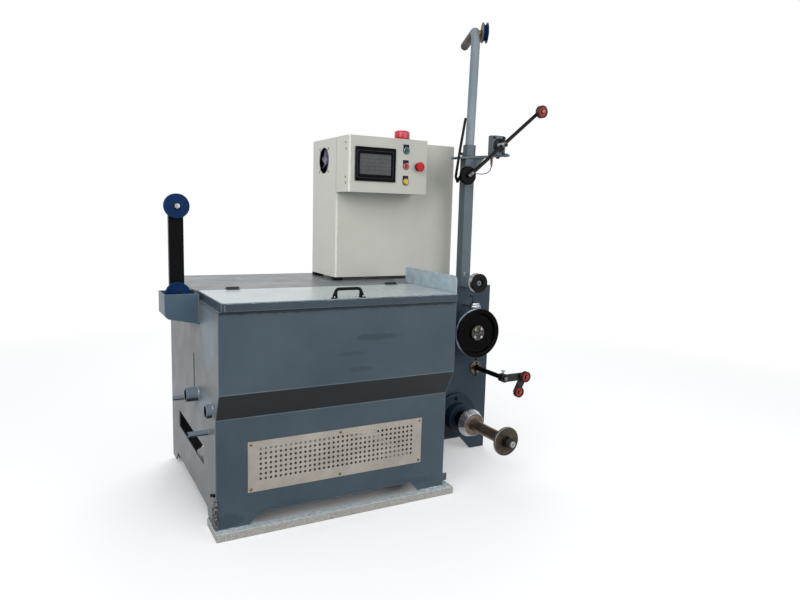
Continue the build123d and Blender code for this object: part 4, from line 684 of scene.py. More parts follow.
def sweptBar(name, path, section, up=(0, 0, 1)):
    # p(i, j) = path(i) + s(j).x side(i) + s(j).y lift(i), mitred at corners
    path, section = np.asarray(path, float), np.asarray(section, float)
    step = unit(np.diff(path, axis=0))
    tangent = unit(np.concatenate([step[:1], step[:-1] + step[1:], step[-1:]]))
    side = unit(np.cross(tangent, np.asarray(up, float)))
    lift = np.cross(side, tangent)
    grow = np.ones(len(path))
    grow[1:-1] = 1 / np.clip(np.sum(tangent[1:-1] * step[:-1], 1), 0.5, 1)
    bend, turn = np.zeros_like(path), step[1:] - step[:-1]
    length = np.linalg.norm(turn, axis=1)
    bend[1:-1][length > 1e-6] = turn[length > 1e-6] / length[length > 1e-6][:, None]
    offset = section[None, :, :1] * side[:, None] + section[None, :, 1:] * lift[:, None]
    along = np.sum(offset * bend[:, None], 2)[..., None] * bend[:, None]
    points = path[:, None] + offset + along * (grow[:, None, None] - 1)
    return meshObject(name, points, capped(len(path), len(section)))


skin = {"sharp": 28, "merge": 2e-6, "flat": 0.6}  # degrees, metres, degrees


def dressed(node, finish, bevel, edge):
    # a merged copy of a CAD solid with rounded edges, which may have their own finish
    data = nodes[node].data.copy()
    work = bmesh.new()
    work.from_mesh(data)
    bmesh.ops.remove_doubles(work, verts=work.verts, dist=skin["merge"])
    bmesh.ops.dissolve_limit(work, angle_limit=math.radians(skin["flat"]), verts=work.verts, edges=work.edges)
    work.to_mesh(data)
    work.free()
    smoothed(data, skin["sharp"])
    obj = linked(node + "Skin", data)
    standIn(obj, finish, node)
    if bevel:
        mod = obj.modifiers.new("edges", "BEVEL")
        mod.width = bevel
        mod.segments = 2
        mod.limit_method = "ANGLE"
        mod.angle_limit = math.radians(skin["sharp"])
        mod.harden_normals = True
        mod.use_clamp_overlap = True
        if edge:
            data.materials.append(finishes[edge])
            mod.material = 1


def joined(name, pieces):
    # several meshes that make one piece
    work = bmesh.new()
    for piece in pieces:
        work.from_mesh(piece.data)
        bpy.data.meshes.remove(piece.data)
    data = bpy.data.meshes.new(name)
    work.to_mesh(data)
    work.free()
    smoothed(data, 38)
    return linked(name, data)


def hexHead(centre, direction, across, height, turn=0.0, washer=0.0):
    # a six sided slab with softly rounded edges, on a washer
    e1, e2, e3 = axesFor(direction)
    loop = circleLoop(across / 2 / math.cos(math.pi / 6), 6, turn)
    spot = np.asarray(centre, float)
    parts = [slab("head", loop, spot + e3 * washer * 0.12, e1, e2, height, min(across, height) * 0.12)]
    if washer:
        parts.append(lathe("washer", spot, direction, [(0, 0), (washer / 2, 0), (washer / 2, washer * 0.12),
                                                       (0, washer * 0.12)], 0.0004, 32))
    return joined("hex", parts)


def socketHead(centre, direction, radius, height):
    # a cap screw: outer wall, rounded rim, and a six sided socket as a narrower turned hollow
    return lathe("socket", centre, direction, [
        (0, 0), (radius, 0), (radius, height), (radius * 0.52, height), (radius * 0.48, height * 0.35),
        (0, height * 0.3)], radius * 0.16, 24)


def panHead(centre, direction, radius, height):
    # a low dome on a short skirt below the surface: r = radius cos s, t = height sin s
    s = np.linspace(0, math.pi / 2, 7)
    profile = np.concatenate([[(radius, -0.0004)], np.stack([radius * np.cos(s), height * np.sin(s)], 1)])
    profile[-1, 0] = 0
    return lathe("pan", centre, direction, profile, 0, 20)


def slotBar(centre, direction, radius, height, turn):
    # the slot of a screw head: a thin bar whose top is just proud of the crown
    e1, e2, e3 = axesFor(direction)
    a, b = math.cos(turn), math.sin(turn)
    loop = roundedLoop(radius * 1.5, radius * 0.26, radius * 0.1, steps=1)
    return slab("slot", loop, np.asarray(centre, float) + e3 * height * 0.6, a * e1 + b * e2,
                -b * e1 + a * e2, height * 0.46, radius * 0.03, 1)


bead = {"step": 0.0016, "pitch": 0.0062, "ripple": 0.22, "wander": 0.14, "lean": (0.31, 0.17, 0.93), "sides": 8}


def weldBead(path, size, seed=1):
    # r(i) = size (1 + ripple cos(2 pi s / pitch) + wander * summed noise / 6), a ring at each step of the path
    rng = np.random.default_rng(seed)
    path = np.asarray(path, float)
    known = np.concatenate([[0], np.cumsum(np.linalg.norm(np.diff(path, axis=0), axis=1))])
    count = max(8, int(known[-1] / bead["step"]))
    s = np.linspace(0, known[-1], count)
    line = np.stack([np.interp(s, known, path[:, k]) for k in range(3)], 1)
    ripple = bead["ripple"] * np.cos(2 * math.pi * s / bead["pitch"])
    radius = size * (1 + ripple + bead["wander"] * rng.standard_normal(count).cumsum() / 6)
    radius = np.clip(radius, 0.5 * size, 1.5 * size)
    radius[0] = radius[-1] = size * 0.2
    tangent = unit(np.gradient(line, axis=0))
    side = unit(np.cross(tangent, np.array(bead["lean"])))
    u = circleLoop(1, bead["sides"])
    points = line[:, None] + radius[:, None, None] * (
        u[None, :, :1] * side[:, None] + u[None, :, 1:] * np.cross(side, tangent)[:, None])
    return meshObject("bead", points, capped(count, bead["sides"]))


def ringPath(centre, direction, radius, turns=48):
    # centre + radius (cos a e1 + sin a e2), from 0 round to 0 again
    e1, e2 = axesFor(direction)[:2]
    a = np.linspace(0, 2 * math.pi, turns)
    return np.asarray(centre, float) + radius * (np.cos(a)[:, None] * e1 + np.sin(a)[:, None] * e2)


# Leads: thin sensor cables, each a curve through the same points as its solid

leads = {
    "sensor_lead": {
        "points": [(0.948, 0.4135, 1.41534), (0.948, 0.4135, 1.40034), (0.939, 0.4155, 1.38434),
                   (0.922, 0.4175, 1.37234), (0.898, 0.4195, 1.36834), (0.87, 0.4225, 1.36934),
                   (0.844, 0.4225, 1.36934)],
        "length": 0.132, "sleeve": (0.0035, 0.0025, 0.012), "end": toLeft,
    },
    "wire_sensor_lead": {
        "points": [(0.807, 0.3195, 0.757), (0.807, 0.3195, 0.771), (0.814, 0.3295, 0.78),
                   (0.827, 0.3465, 0.783), (0.841, 0.3655, 0.782), (0.853, 0.3855, 0.779),
                   (0.853, 0.4045, 0.779)],
        "length": 0.1152, "sleeve": (0.0036, 0.0025, 0.01), "end": toBack,
    },
}
leadRadius = 0.002


def makeLead(node, points, length, sleeve, end):
    # a NURBS line with the route's points as control points, and a tapered sleeve at its start
    data = bpy.data.curves.new(node + "Line", "CURVE")
    data.dimensions = "3D"
    line = data.splines.new("NURBS")
    line.points.add(len(points) - 1)
    for point, spot in zip(line.points, points):
        point.co = (*spot, 1)
    line.order_u = 3
    line.use_endpoint_u = True
    data.resolution_u = 12
    data.bevel_depth = leadRadius
    data.bevel_resolution = 4
    data.use_fill_caps = True
    obj = linked(node + "Line", data)
    standIn(obj, "cable", node)
    start, away = np.array(points[0]), np.array(points[1]) - np.array(points[0])
    wide, narrow, reach = sleeve
    relief = lathe(node + "Sleeve", start, away, [(leadRadius * 0.7, 0), (wide, 0), (wide, reach * 0.2),
                                                  (narrow, reach), (leadRadius * 0.7, reach)], 0.0003, 24)
    place(relief, "rubber", "cable_black")
    grommet = lathe(node + "Grommet", points[-1], -np.array(end, float), [
        (leadRadius * 0.7, 0), (0.004, 0), (0.004, 0.001), (0.0028, 0.002), (leadRadius * 0.7, 0.002)], 0.0004, 24)
    place(grommet, "rubber", "cable_black")


for node, lead in leads.items():
    makeLead(node, **lead)
print("leads:", len(leads))

# Folded and welded sheet, carried over from the solids with rounded edges: finish, edge radius, edge finish

skins = {
    "base_rails": ("rail", 0.0022, None), "tank_front_wall": ("front", 0.002, "panelEdge"),
    "tank_left_wall": ("side", 0.0012, "panelEdge"), "opening_brace": ("side", 0.0008, None),
    "tank_right_wall": ("rightSide", 0.0012, "panelEdge"), "tank_rear_wall": ("rightSide", 0.0012, None),
    "tank_trough": ("takeup", 0.001, None), "top_plate": ("deck", 0.0018, "panelEdge"),
    "lid": ("lid", 0.0022, "panelEdge"), "hinge_fixed_leaves": ("hinge", 0.0003, None),
    "hinge_lid_leaves": ("hinge", 0.0003, None), "splash_guard": ("guard", 0.0006, None),
    "payoff_tray": ("tray", 0.0014, "panelEdge"), "payoff_post": ("blackPaint", 0.0016, None),
    "takeup_plate": ("takeup", 0.0014, "mast"), "takeup_housing": ("takeup", 0.0015, "mast"),
    "mast_bracket": ("mast", 0.0012, "panelEdge"), "guide_arm": ("panelEdge", 0.0014, "panelEdge"),
    "cabinet": ("cabinet", 0.0016, "cabinetEdge"), "control_box": ("controlBox", 0.0016, "cabinetEdge"),
    "cabinet_feet": ("rubber", 0.0015, None), "mast": ("mast", 0.003, "panelEdge"),
    "hook_bar": ("hook", 0.001, None),
    "traverse_arm_plate": ("armPlate", 0.0006, None), "fan_frame": ("plastic", 0.0006, None),
    "pipe_stubs": ("stub", 0, None), "capstan_bearing": ("housing", 0.001, None),
}
for node, (finish, bevel, edge) in skins.items():
    dressed(node, finish, bevel, edge)
print("skins:", len(skins))

# Turned parts: profiles in (radius, place along the axis), the latter world Y where the axis runs along Y

dancerX, dancerZ, dancerRodY = 0.966, 1.506, 0.3515
swing = math.radians(39.5)
along = np.array([math.cos(swing), 0, math.sin(swing)])
rollerSpot = np.array([dancerX, dancerRodY, dancerZ]) + along * 0.267
weightSpot = np.array([dancerX, dancerRodY, dancerZ]) - along * 0.238


def pulleyProfile(bore, half):
    # a V groove with a round root between two lips, each face dished by half a millimetre
    rim, root, lip = 0.046, 0.033, 0.003
    return [(bore, -half), (0.016, -half), (0.018, 0.0006 - half), (0.04, 0.0006 - half), (0.042, -half),
            (rim, -half), (rim, lip - half), (root + 0.002, -0.0016), (root, 0), (root + 0.002, 0.0016),
            (rim, half - lip), (rim, half), (0.042, half), (0.04, half - 0.0006), (0.018, half - 0.0006),
            (0.016, half), (bore, half)]


pulleys = {  # centre, axis, body that carries its bolt
    "payoff_pulley_low": ((-0.534, 0.3475, 0.844), toBack, "machine"),
    "payoff_pulley_high": ((-0.534, 0.3475, 1.177), toBack, "machine"),
    "top_pulley": ((0.87467, 0.41323, 2.016), (-0.913545, 0.406737, 0), "crook"),
}
for node, (spot, axis, carrier) in pulleys.items():
    standIn(lathe(node + "Wheel", spot, axis, pulleyProfile(0.0063, 0.012), 0.0007, 96), "navy", node)
    outward = -np.array(axis, float)
    face = np.array(spot) + outward * 0.0123
    place(lathe(node + "Washer", face, outward, mm([(0, 0), (12.5, 0), (12.5, 2), (10.5, 3), (0, 3)]), 0.0004, 48),
        "blackPaint", "black_steel", carrier)
    place(hexHead(face + outward * 0.003, outward, 0.0185, 0.0045, 0.35),
        "cast" if node == "payoff_pulley_low" else "bright", "bright_steel", carrier)

rollers = {  # centre Y, radius, half thickness, X and Z, head of the axle, carrier
    "dancer_roller": (0.3305, 0.03, 0.01, (rollerSpot[0], rollerSpot[2]), 0.009, "dancer"),
    "traverse_roller_high": (0.1525, 0.026, 0.008, (1.011, 0.418), 0.0075, "traverse"),
    "traverse_roller_low": (0.1525, 0.026, 0.008, (0.975, 0.348), 0.0075, "traverse"),
}
for node, (y, radius, half, (x, z), head, carrier) in rollers.items():
    bore, lip, front = head * 0.7, radius * 0.16, y - half
    spot = (x, y, z)
    standIn(turned(node + "Wheel", spot, [
        (bore, y - half + 0.0014), (radius * 0.4, front + 0.0014), (radius * 0.41, front + 0.0022),
        (radius * 0.72, front + 0.0022), (radius * 0.74, front), (radius, front), (radius, y - half * 0.62),
        (radius - lip, y - half * 0.18), (radius - lip, y + half * 0.18), (radius, y + half * 0.62),
        (radius, y + half), (bore, y + half)], 0.0006, 72), "rollerFace", node)
    place(turned(node + "Face", spot, [
        (radius * 0.725, front + 0.001), (radius * 0.735, front - 0.0003), (radius * 0.965, front - 0.0003),
        (radius * 0.975, front + 0.001)], 0.0002, 72), "rollerFace", slotOf[node], bodyOf[node])
    place(turned(node + "Seal", spot, [
        (radius * 0.42, front + 0.003), (radius * 0.42, front + 0.0006), (radius * 0.71, front + 0.0006),
        (radius * 0.71, front + 0.003)], 0.0003, 72), "seal", slotOf[node], bodyOf[node])
    place(joined(node + "Axle", [
        lathe("head", (x, front - 0.0003, z), toFront, [
            (0, 0), (head, 0), (head, 0.0054), (head * 0.86, 0.0063), (0, 0.0063)], 0.0005, 32),
        lathe("stud", (x, front - 0.0065, z), toFront, [
            (0, 0), (head * 0.5, 0), (head * 0.42, 0.0014), (0, 0.0014)], 0.0003, 24)]), "rollerRim",
        "dark_steel", carrier)

guideSpot = (0.819, 0.3025, 0.855)
gx, gz = guideSpot[::2]
ridges = [(38.5 + 1.1 * (k % 2), 296.5 + 1.4 * k) for k in range(12)]
makeTurned(guideSpot, {
    "guidePulleyDrum": ("drum", "guide_pulley", 0.0003, 96, [
        (9, 293.7), (42.5, 293.7), (38.5, 295.2), *ridges, (38.5, 312.2), (44.8, 315), (45, 319.5), (9, 319.5)]),
    "guidePulleyFront": ("guideFront", ("black_steel", "guide_pulley"), 0.0006, 96, [
        (9, 296.5), (16.5, 296.5), (19.8, 286.8), (22.5, 285.5), (33.5, 286.2), (34.5, 285.5), (43.2, 285.5),
        (45, 287.4), (45, 291.8), (42.5, 293.6), (9, 293.6)]),
})
place(joined("guidePulleyAxle", [
    lathe("head", (gx, 0.2966, gz), toFront, mm([(0, 0), (8.2, 0), (8.2, 3.6), (7.4, 4.6), (0, 4.6)]), 0.0005,
        48),
    lathe("pip", (gx, 0.2921, gz), toFront, mm([(0, 0), (5.2, 0), (4.2, 2.6), (0, 2.6)]), 0.0005, 32)]), "nut",
    "bright_steel")

wheelSpot = (0.819, 0.288, 0.618)
wx, wz = wheelSpot[::2]
makeTurned(wheelSpot, {
    "capstanDisc": ("blackGloss", "capstan_wheel", 0.0016, 160, [
        (6, 292.5), (84, 292.5), (90, 291.8), (96.5, 277.5), (99.5, 275.7), (113.5, 275.2), (116.8, 276.4),
        (117, 279.2), (115.5, 280.8), (108, 282.8), (108, 296), (6, 296)]),
    "capstanGroove": ("grooveSteel", ("bright_steel", "capstan"), 0.0006, 160, [
        (107.5, 281.5), (114.5, 280.6), (107.2, 283.8), (106.2, 286), (106.2, 290.5), (107.2, 293),
        (115, 295.8), (116.8, 297), (116.8, 299.8), (115.5, 300.5), (20, 300.5), (20, 297.5), (100, 296.5)]),
    "capstanShaft": ("rollerRim", ("dark_steel", "capstan"), 0.0006, 48, [
        (0, 300), (20, 300), (20, 413.5), (18.5, 414.5), (0, 414.5)]),
    "capstanHubRing": ("hubBronze", "capstan_hub", 0.0006, 96, [
        (4.2, 282.5), (4.2, 279.5), (13.5, 279.5), (15, 281.2), (34.5, 281.2), (36, 282.6), (36, 292.5),
        (4.2, 292.5)]),
})
# a near-black disc in the hub's bore: painted shade
place(lathe("capstanHubBore", (wx, 0.2838, wz), toFront, mm([(0, 0), (4.3, 0), (4.3, 0.1), (0, 0.1)]), 0, 24),
    "holeShade", "black_steel", "capstan")
place(joined("capstanHubBolts", [
    socketHead((wx + 0.0255 * math.cos(a), 0.2812, wz + 0.0255 * math.sin(a)), toFront, 0.0062, 0.005)
    for a in np.radians([52, 132, 222, 312])]), "bright", "bright_steel", "capstan")

spindleSpot = (0.783, 0, 0.188)
sx, sz = spindleSpot[::2]
makeTurned(spindleSpot, {
    "spindleHousingCast": ("housing", "spindle_housing", 0.0012, 128, [
        (40.3, 404.5), (112, 404.5), (112, 388.5), (109.5, 386.5), (74, 386.5), (70, 383.5), (70, 339.5),
        (67.5, 336.5), (40.3, 336.5)]),
    "spindleShaft": ("tarnished", "takeup_spindle", 0.0006, 96, [
        (0, 414.5), (40, 414.5), (40, 262), (26, 262), (26, -6.5), (15, -6.5), (15, -61.8), (13, -63.5),
        (3.2, -63.5), (3, -55.5), (0, -55.5)]),
    "spindleNeck": ("neck", ("black_steel", "takeup_spindle"), 0.0004, 96, [
        (38, 413), (40.2, 413), (40.2, 271.5), (38, 271.5)]),
    "spindleNeckBand": ("neck", ("black_steel", "takeup_spindle"), 0.0004, 96, [
        (40, 300), (41.2, 299.2), (41.2, 273.8), (40, 273)]),
    "spoolCone": ("cone", ("bright_steel", "takeup_spindle"), 0.0006, 128, [
        (36, 271.5), (64.5, 271.5), (66, 269.8), (66, 263.5), (65.5, 262), (53.8, 230.2), (52.5, 230),
        (52.5, 233), (36, 233)]),
    "spoolConeFace": ("tarnished", ("dark_steel", "takeup_spindle"), 0.0003, 128, [
        (25.8, 234), (25.8, 230.3), (30, 229.6), (41.5, 229.6), (42.5, 230.3), (50, 230.3), (51, 229.5),
        (52.7, 229.8), (52.7, 234)]),
    "spoolDiscPlate": ("discFace", "spool_disc", 0.0008, 128, [
        (15.3, -6.5), (62, -6.5), (65, -8.5), (65, -16.5), (62.5, -18.5), (15.3, -18.5)]),
})
nutRings = np.array([(0.0198, -0.0185), (0.023, -0.0199), (0.023, -0.0447), (0.0198, -0.0465)])  # radius, Y
nutLoop = circleLoop(1 / math.cos(math.pi / 6), 6, math.pi / 6)
nutFlat = nutRings[:, :1, None] * nutLoop + (sx, sz)
nutPoints = np.stack([nutFlat[..., 0], np.tile(nutRings[:, 1:], 6), nutFlat[..., 1]], -1)
standIn(joined("spoolNutBody", [
    meshObject("nut", nutPoints, capped(4, 6)),
    turned("nutFace", spindleSpot, mm([(0, -46), (21.5, -46), (20.5, -47.4), (0, -47.4)]), 0.0004, 48)]), "nut",
    "spool_nut", "black_steel")
place(turned("spindleNose", spindleSpot, mm([
    (13.2, -47), (15.1, -47.5), (15.1, -60.8), (12.5, -63.7), (3.6, -63.7), (3.4, -62)]), 0.0008, 64,
    closed=False), "silver", "bright_steel", "takeup_spindle")
# a near-black lining in the nose's hole: painted shade
place(turned("spindleNoseHole", spindleSpot, mm([
    (0, -56), (3.4, -56), (3.4, -63.2), (3.3, -63.2), (3.3, -56.2), (0, -56.2)]), 0, 24), "holeShade", "black_steel",
    "takeup_spindle")
slitAngle = math.radians(84)
slitOut = np.array([math.cos(slitAngle), 0, math.sin(slitAngle)])
slitPath = [np.array([sx, y, sz]) + slitOut * r for y, r in ((0.2699, 0.0655), (0.2622, 0.065), (0.2308, 0.0533))]
# a near-black bar along the cone's slit: painted shade in the slit
place(sweptBar("spoolConeSlit", slitPath, circleLoop(0.0011, 6), toRight), "holeShade", "black_steel",
    "takeup_spindle")
flangeBolts = [(sx + 0.088 * math.cos(a), 0.3865, sz + 0.088 * math.sin(a)) for a in np.radians([91, 211, 331])]
place(joined("spindleFlangeBolts", [
    lathe("bolt", spot, toFront, mm([(0, 0), (8.5, 0), (8.5, 10), (6.2, 12.5), (6.2, 17.5), (0, 18.5)]), 0.0006,
        32)
    for spot in flangeBolts]), "housing", "black_steel")

# Dancer: a shaft with a screwed end, a rod, and a weight

shaftEnd = 0.3275
place(lathe("dancerShaft", (dancerX, 0.4185, dancerZ), toFront, mm([
    (0, 0), (11, 0), (11, 89.5), (9.8, 91), (6.8, 91), (6.2, 87), (0, 87)]), 0.0006, 64), "shaft", "bright_steel",
    "dancer")
place(socketHead((dancerX, shaftEnd + 0.0042, dancerZ), toFront, 0.006, 0.0052), "cast", "black_steel", "dancer")
rodStart = np.array([dancerX, dancerRodY, dancerZ]) - along * 0.246
standIn(lathe("dancerRod", rodStart, along, mm([(0, 0), (8, 0), (9, 1), (9, 519.5), (7.8, 522), (0, 522)]),
    0.0006, 40), "rodBlack", "dancer_arm", "black_steel")
place(lathe("dancerRodTip", rodStart - along * 0.0012, along, mm([
    (0, 0), (6.8, 0), (8.2, 1.4), (9.2, 2.4), (9.2, 30), (8.6, 30.6), (0, 30.6)]), 0.0004, 40), "rollerRim",
    "dark_steel", "dancer")
place(lathe("dancerRollerBoss", rollerSpot + np.array([0, 0.0005, 0]), toFront, mm([
    (0, -9.5), (11.8, -9.5), (12.5, -8.5), (12.5, 8.8), (10.5, 10.3), (0, 10.3)]), 0.0006, 32), "rodBlack",
    "black_steel", "dancer")
standIn(lathe("dancerWeightDisc", weightSpot + np.array([0, 0.0093, 0]), toBack, mm([
    (0, 1.2), (12, 1.2), (14, 0), (39, 0), (43, 2), (43, 14.5), (41.5, 16), (0, 16)]), 0.0008, 96), "blackGloss",
    "dancer_weight", "black_steel")
place(joined("dancerBearingBolts", [
    hexHead((dancerX + dx, 0.3845, dancerZ + dz), toFront, 0.011, 0.0055, 0.3, 0.015)
    for dx in (-0.028, 0.028) for dz in (-0.036, 0.036)]), "rollerFace", "dark_steel")
bearing = {"back": 0.3965, "front": 0.3845, "size": (0.076, 0.092), "cut": 0.008}


def makeBearing():
    # a plate with cut corners, a ring standing on it, and a dark well that the shaft comes out of
    wide, tall = bearing["size"][0] / 2, bearing["size"][1] / 2
    cut, front, back = bearing["cut"], bearing["front"], bearing["back"]
    loop = [(wide, tall - cut), (wide - cut, tall), (cut - wide, tall), (-wide, tall - cut), (-wide, cut - tall),
            (cut - wide, -tall), (wide - cut, -tall), (wide, cut - tall)]
    standIn(facing("dancerBearingPlate", loop, (dancerX, back, dancerZ), back - front, 0.001), "mast",
        "dancer_bearing")
    place(lathe("dancerBearingRing", (dancerX, front, dancerZ), toFront, mm([
        (22.5, -1), (33, -1), (33, 6.2), (31.8, 7.4), (28.5, 7.4), (27.5, 6.4), (24.5, 6.4), (22.5, 5)]), 0.0006,
        72), "cast", "dark_steel")
    place(lathe("dancerBearingWell", (dancerX, front, dancerZ), toFront, mm([
        (11.2, -0.5), (22.8, -0.5), (22.8, 1), (15, 1.6), (11.2, 1)]), 0.0003, 72), "rollerFace", "dark_steel")
    place(lathe("dancerShaftTip", (dancerX, shaftEnd + 0.0012, dancerZ), toFront, mm([
        (6.4, -2), (11.2, -2), (11.2, 0.8), (10.4, 1.8), (7, 1.8), (6.4, 1)]), 0.0003, 48), "hubBronze",
        "dark_steel", "dancer")


makeBearing()

# Proximity sensor: a threaded barrel, two nuts and the lead's end

barrel = {"x": 0.948, "y": 0.4135, "top": 1.4493, "radius": 6, "threads": 22, "pitch": 1}  # radius and pitch in mm
barrelTop = (barrel["x"], barrel["y"], barrel["top"])
threads = [(barrel["radius"] - 0.5 * (k % 2), 5 + barrel["pitch"] * k) for k in range(barrel["threads"])]
standIn(joined("proximityBarrel", [
    lathe("barrel", barrelTop, toFloor, mm([
        (0, 0), (5.5, 0), *threads, (6.4, 27.5), (6.4, 33.2), (5.2, 34), (0, 34)]), 0, 32),
    hexHead((barrel["x"], barrel["y"], barrel["top"] - 0.0004), toFloor, 0.0165, 0.004, 0.2),
    hexHead((barrel["x"], barrel["y"], barrel["top"] - 0.0125), toFloor, 0.0165, 0.004, 0.5)]), "brass",
    "proximity_sensor")
place(lathe("proximityTip", (barrel["x"], barrel["y"], 1.4625), toTop, mm([
    (0, 0), (6, 0), (6, 4), (5, 5), (0, 5)]), 0.0004, 32), "brass", "brass")

# Wire sensor: a silver block with a notched lid, on its stem

sensor = {"x": 0.819, "front": 0.3065, "back": 0.3325}
standIn(joined("wireSensorBlock", [
    facing("body", roundedLoop(0.052, 0.014, 0.002), (sensor["x"], sensor["back"], 0.738), 0.026, 0.0008),
    facing("lid", roundedLoop(0.04, 0.0135, 0.003), (sensor["x"], sensor["back"] - 0.001, 0.7502), 0.024,
        0.0012),
    facing("stem", roundedLoop(0.012, 0.012, 0.0015), (sensor["x"], 0.4045, 0.737), 0.0722, 0.0006)]), "silver",
    "wire_sensor")
place(joined("wireSensorScrews", [
    panHead((sensor["x"] + dx, sensor["front"], 0.7385), toFront, 0.0028, 0.0016) for dx in (-0.021, 0.021)]
    + [panHead((sensor["x"] + dx, 0.3195, 0.7568), toTop, 0.0026, 0.0014) for dx in (0.004, 0.014)]),
    "rollerFace", "dark_steel")

# Traverse: rod, collar screw and flange

tx, tz, rodEnd = 0.899, 0.418, 0.1545
standIn(lathe("traverseRodBar", (tx, rodEnd, tz), toBack, mm([
    (0, 0.6), (7.5, 0), (9.8, 0), (11.5, 1.6), (11.5, 438.5), (10.5, 440), (0, 440)]), 0.0006, 48), "rod",
    "traverse_rod", "black_steel")
place(lathe("traverseRodFace", (tx, rodEnd - 0.0004, tz), toBack, mm([(0, 0), (9.2, 0), (9.2, 1.2), (0, 1.2)]),
    0.0002, 32), "rollerRim", "dark_steel", "traverse")
place(joined("traverseThumbScrew", [
    lathe("stem", (tx + 0.001, 0.18, tz + 0.0195), toTop, mm([(0, 0), (3.4, 0), (3.4, 10), (0, 10)]), 0.0002,
        24),
    lathe("flare", (tx + 0.001, 0.18, tz + 0.0275), toTop, mm([
        (0, 0), (5, 0), (9.2, 3.4), (9.8, 6.4), (9, 7.8), (0, 7.8)]), 0.0008, 32, wave=(0.04, 12))]), "silver",
    "bright_steel", "traverse")
makeTurned((tx, 0, tz), {
    "traverseFlangeRing": ("bronze", "traverse_flange", 0.0005, 72, [
        (11.8, 404.5), (32, 404.5), (32, 399.5), (30.5, 398.5), (20.5, 398.5), (19.5, 393), (18.5, 392.5),
        (11.8, 392.5)]),
    # a near-black lip between the rod and the flange: painted shade in the gap
    "traverseFlangeLip": ("holeShade", ("black_steel", "machine"), 0.0002, 48, [
        (11.9, 392.2), (16.8, 392.2), (17.8, 393.2), (11.9, 393.2)]),
})
place(joined("traverseFlangeBolts", [
    socketHead((tx + dx, y, tz + dz), toFront, r, 0.0045)
    for dx, y, dz, r in ((0.0, 0.3985, 0.0258, 0.0042), (0.0, 0.3985, -0.0258, 0.0042),
        (-0.0258, 0.3985, 0.0, 0.0042), (0.0258, 0.3985, 0.0, 0.0042), (0.0, 0.4045, 0.0405, 0.0046),
        (0.002, 0.4045, -0.0385, 0.0046))]), "blackPaint", "black_steel")

# Mast head: crook pipe with its boss, welds, set screws

crook = {"foot": (0.826, 0.4295, 1.4433), "head": (0.8388, 0.4295, 2.028), "bend": 0.048, "leg": 0.31,
         "turn": 24.0, "radius": 0.021}


def crookPath():
    # a leaning upright, an arc about the bend radius, and a level leg: c + r (a cos t + b sin t)
    foot, head = np.array(crook["foot"]), np.array(crook["head"])
    rise = unit(head - foot)
    t = math.radians(crook["turn"])
    level = np.array([math.sin(t), math.cos(t), 0])
    angle = math.acos(rise @ level)
    cut = crook["bend"] * math.tan(angle / 2)
    start = head - rise * cut
    inward = unit(level - rise * (level @ rise))
    a = np.linspace(0, angle, 15)[:, None]
    arc = start + crook["bend"] * (np.sin(a) * rise + (1 - np.cos(a)) * inward)
    end = head + level * crook["leg"]
    return np.concatenate([np.linspace(foot, start, 12)[:-1], arc, np.linspace(arc[-1], end, 8)[1:]])


path = crookPath()
pulleyOut = np.array([0.913545, -0.406737, 0])
standIn(sweptBar("crookPipe", path, circleLoop(crook["radius"], 40), pulleyOut), "pipe", "crook")
endDirection = path[-1] - path[-2]
# a near-black disc on the leg's end: painted shade inside the open pipe
place(lathe("crookEnds", path[-1] + endDirection * 0.001, endDirection, mm([
    (0, 0), (17.8, 0), (17.8, 0.4), (0, 0.4)]), 0, 40), "holeShade", "pipe_grey", "crook")
place(lathe("crookEndRing", path[-1], endDirection, mm([
    (17.8, -2), (17.8, 1.2), (19.5, 1.6), (21.1, 0.2), (21.1, -2)]), 0.0003, 48), "mast", "pipe_grey", "crook")
bossFoot = np.array([0.83804, 0.4295, 2.016])
place(lathe("crookBoss", bossFoot, pulleyOut, mm([(6, 10), (11, 10), (11, 24.5), (9.5, 26), (6, 26)]), 0.0006, 40),
    "brass", "pipe_grey", "crook")
place(lathe("topPulleyBack", np.array(pulleys["top_pulley"][0]) - pulleyOut * 0.0121, -pulleyOut, mm([
    (7.5, -0.5), (7.5, 0.3), (45.2, 0.3), (45.2, -0.5)]), 0.0002, 96), "rust", "navy_paint", "top_pulley")
place(lathe("crookAxle", bossFoot, pulleyOut, mm([(0, 12), (5.6, 12), (5.6, 52.3), (0, 52.3)]), 0.0004, 32),
    "rollerRim", "bright_steel", "crook")
place(lathe("crookRimBead", (0.8272, 0.4295, 1.4994), (0.0218, 0, 0.9998), mm([
    (21.3, 0), (30, 0), (30, 0.5), (28.5, 1.2), (21.3, 1.2)]), 0.0004, 48), "panelEdge", "blue_grey_paint")
place(joined("guideArmScrew", [
    lathe("stem", (0.795, 0.385, 0.8795), toTop, mm([(0, 0), (3.8, 0), (3.8, 19), (3, 21), (0, 21)]), 0.0003,
        24),
    hexHead((0.795, 0.385, 0.88), toTop, 0.013, 0.0055, 0.3, 0.017),
    hexHead((0.795, 0.385, 0.8945), toTop, 0.011, 0.005, 0.1)]), "silver", "dark_steel")
place(joined("bracketUnderBolts", [hexHead((0.9835, 0.4135, 1.454), toFloor, 0.015, 0.005, 0.3, 0.022)]), "cast",
    "dark_steel")
place(lathe("bracketArmTip", (1.024, 0.4135, 1.465), (1, 0, 0.0945), mm([
    (0, 0), (9, 0), (9, 17.5), (7.5, 19), (0, 19)]), 0.0008, 32), "mast", "blue_grey_paint")
place(joined("hookBolts", [
    hexHead((0.7585, 0.3905, 1.4535), toFront, 0.011, 0.005, 0.2, 0.015),
    hexHead((0.739, 0.4145, 1.436), toFloor, 0.011, 0.006, 0.2, 0.015)]), "rollerFace", "dark_steel")

# Lower front panel: perforated plate with slotted brass screws

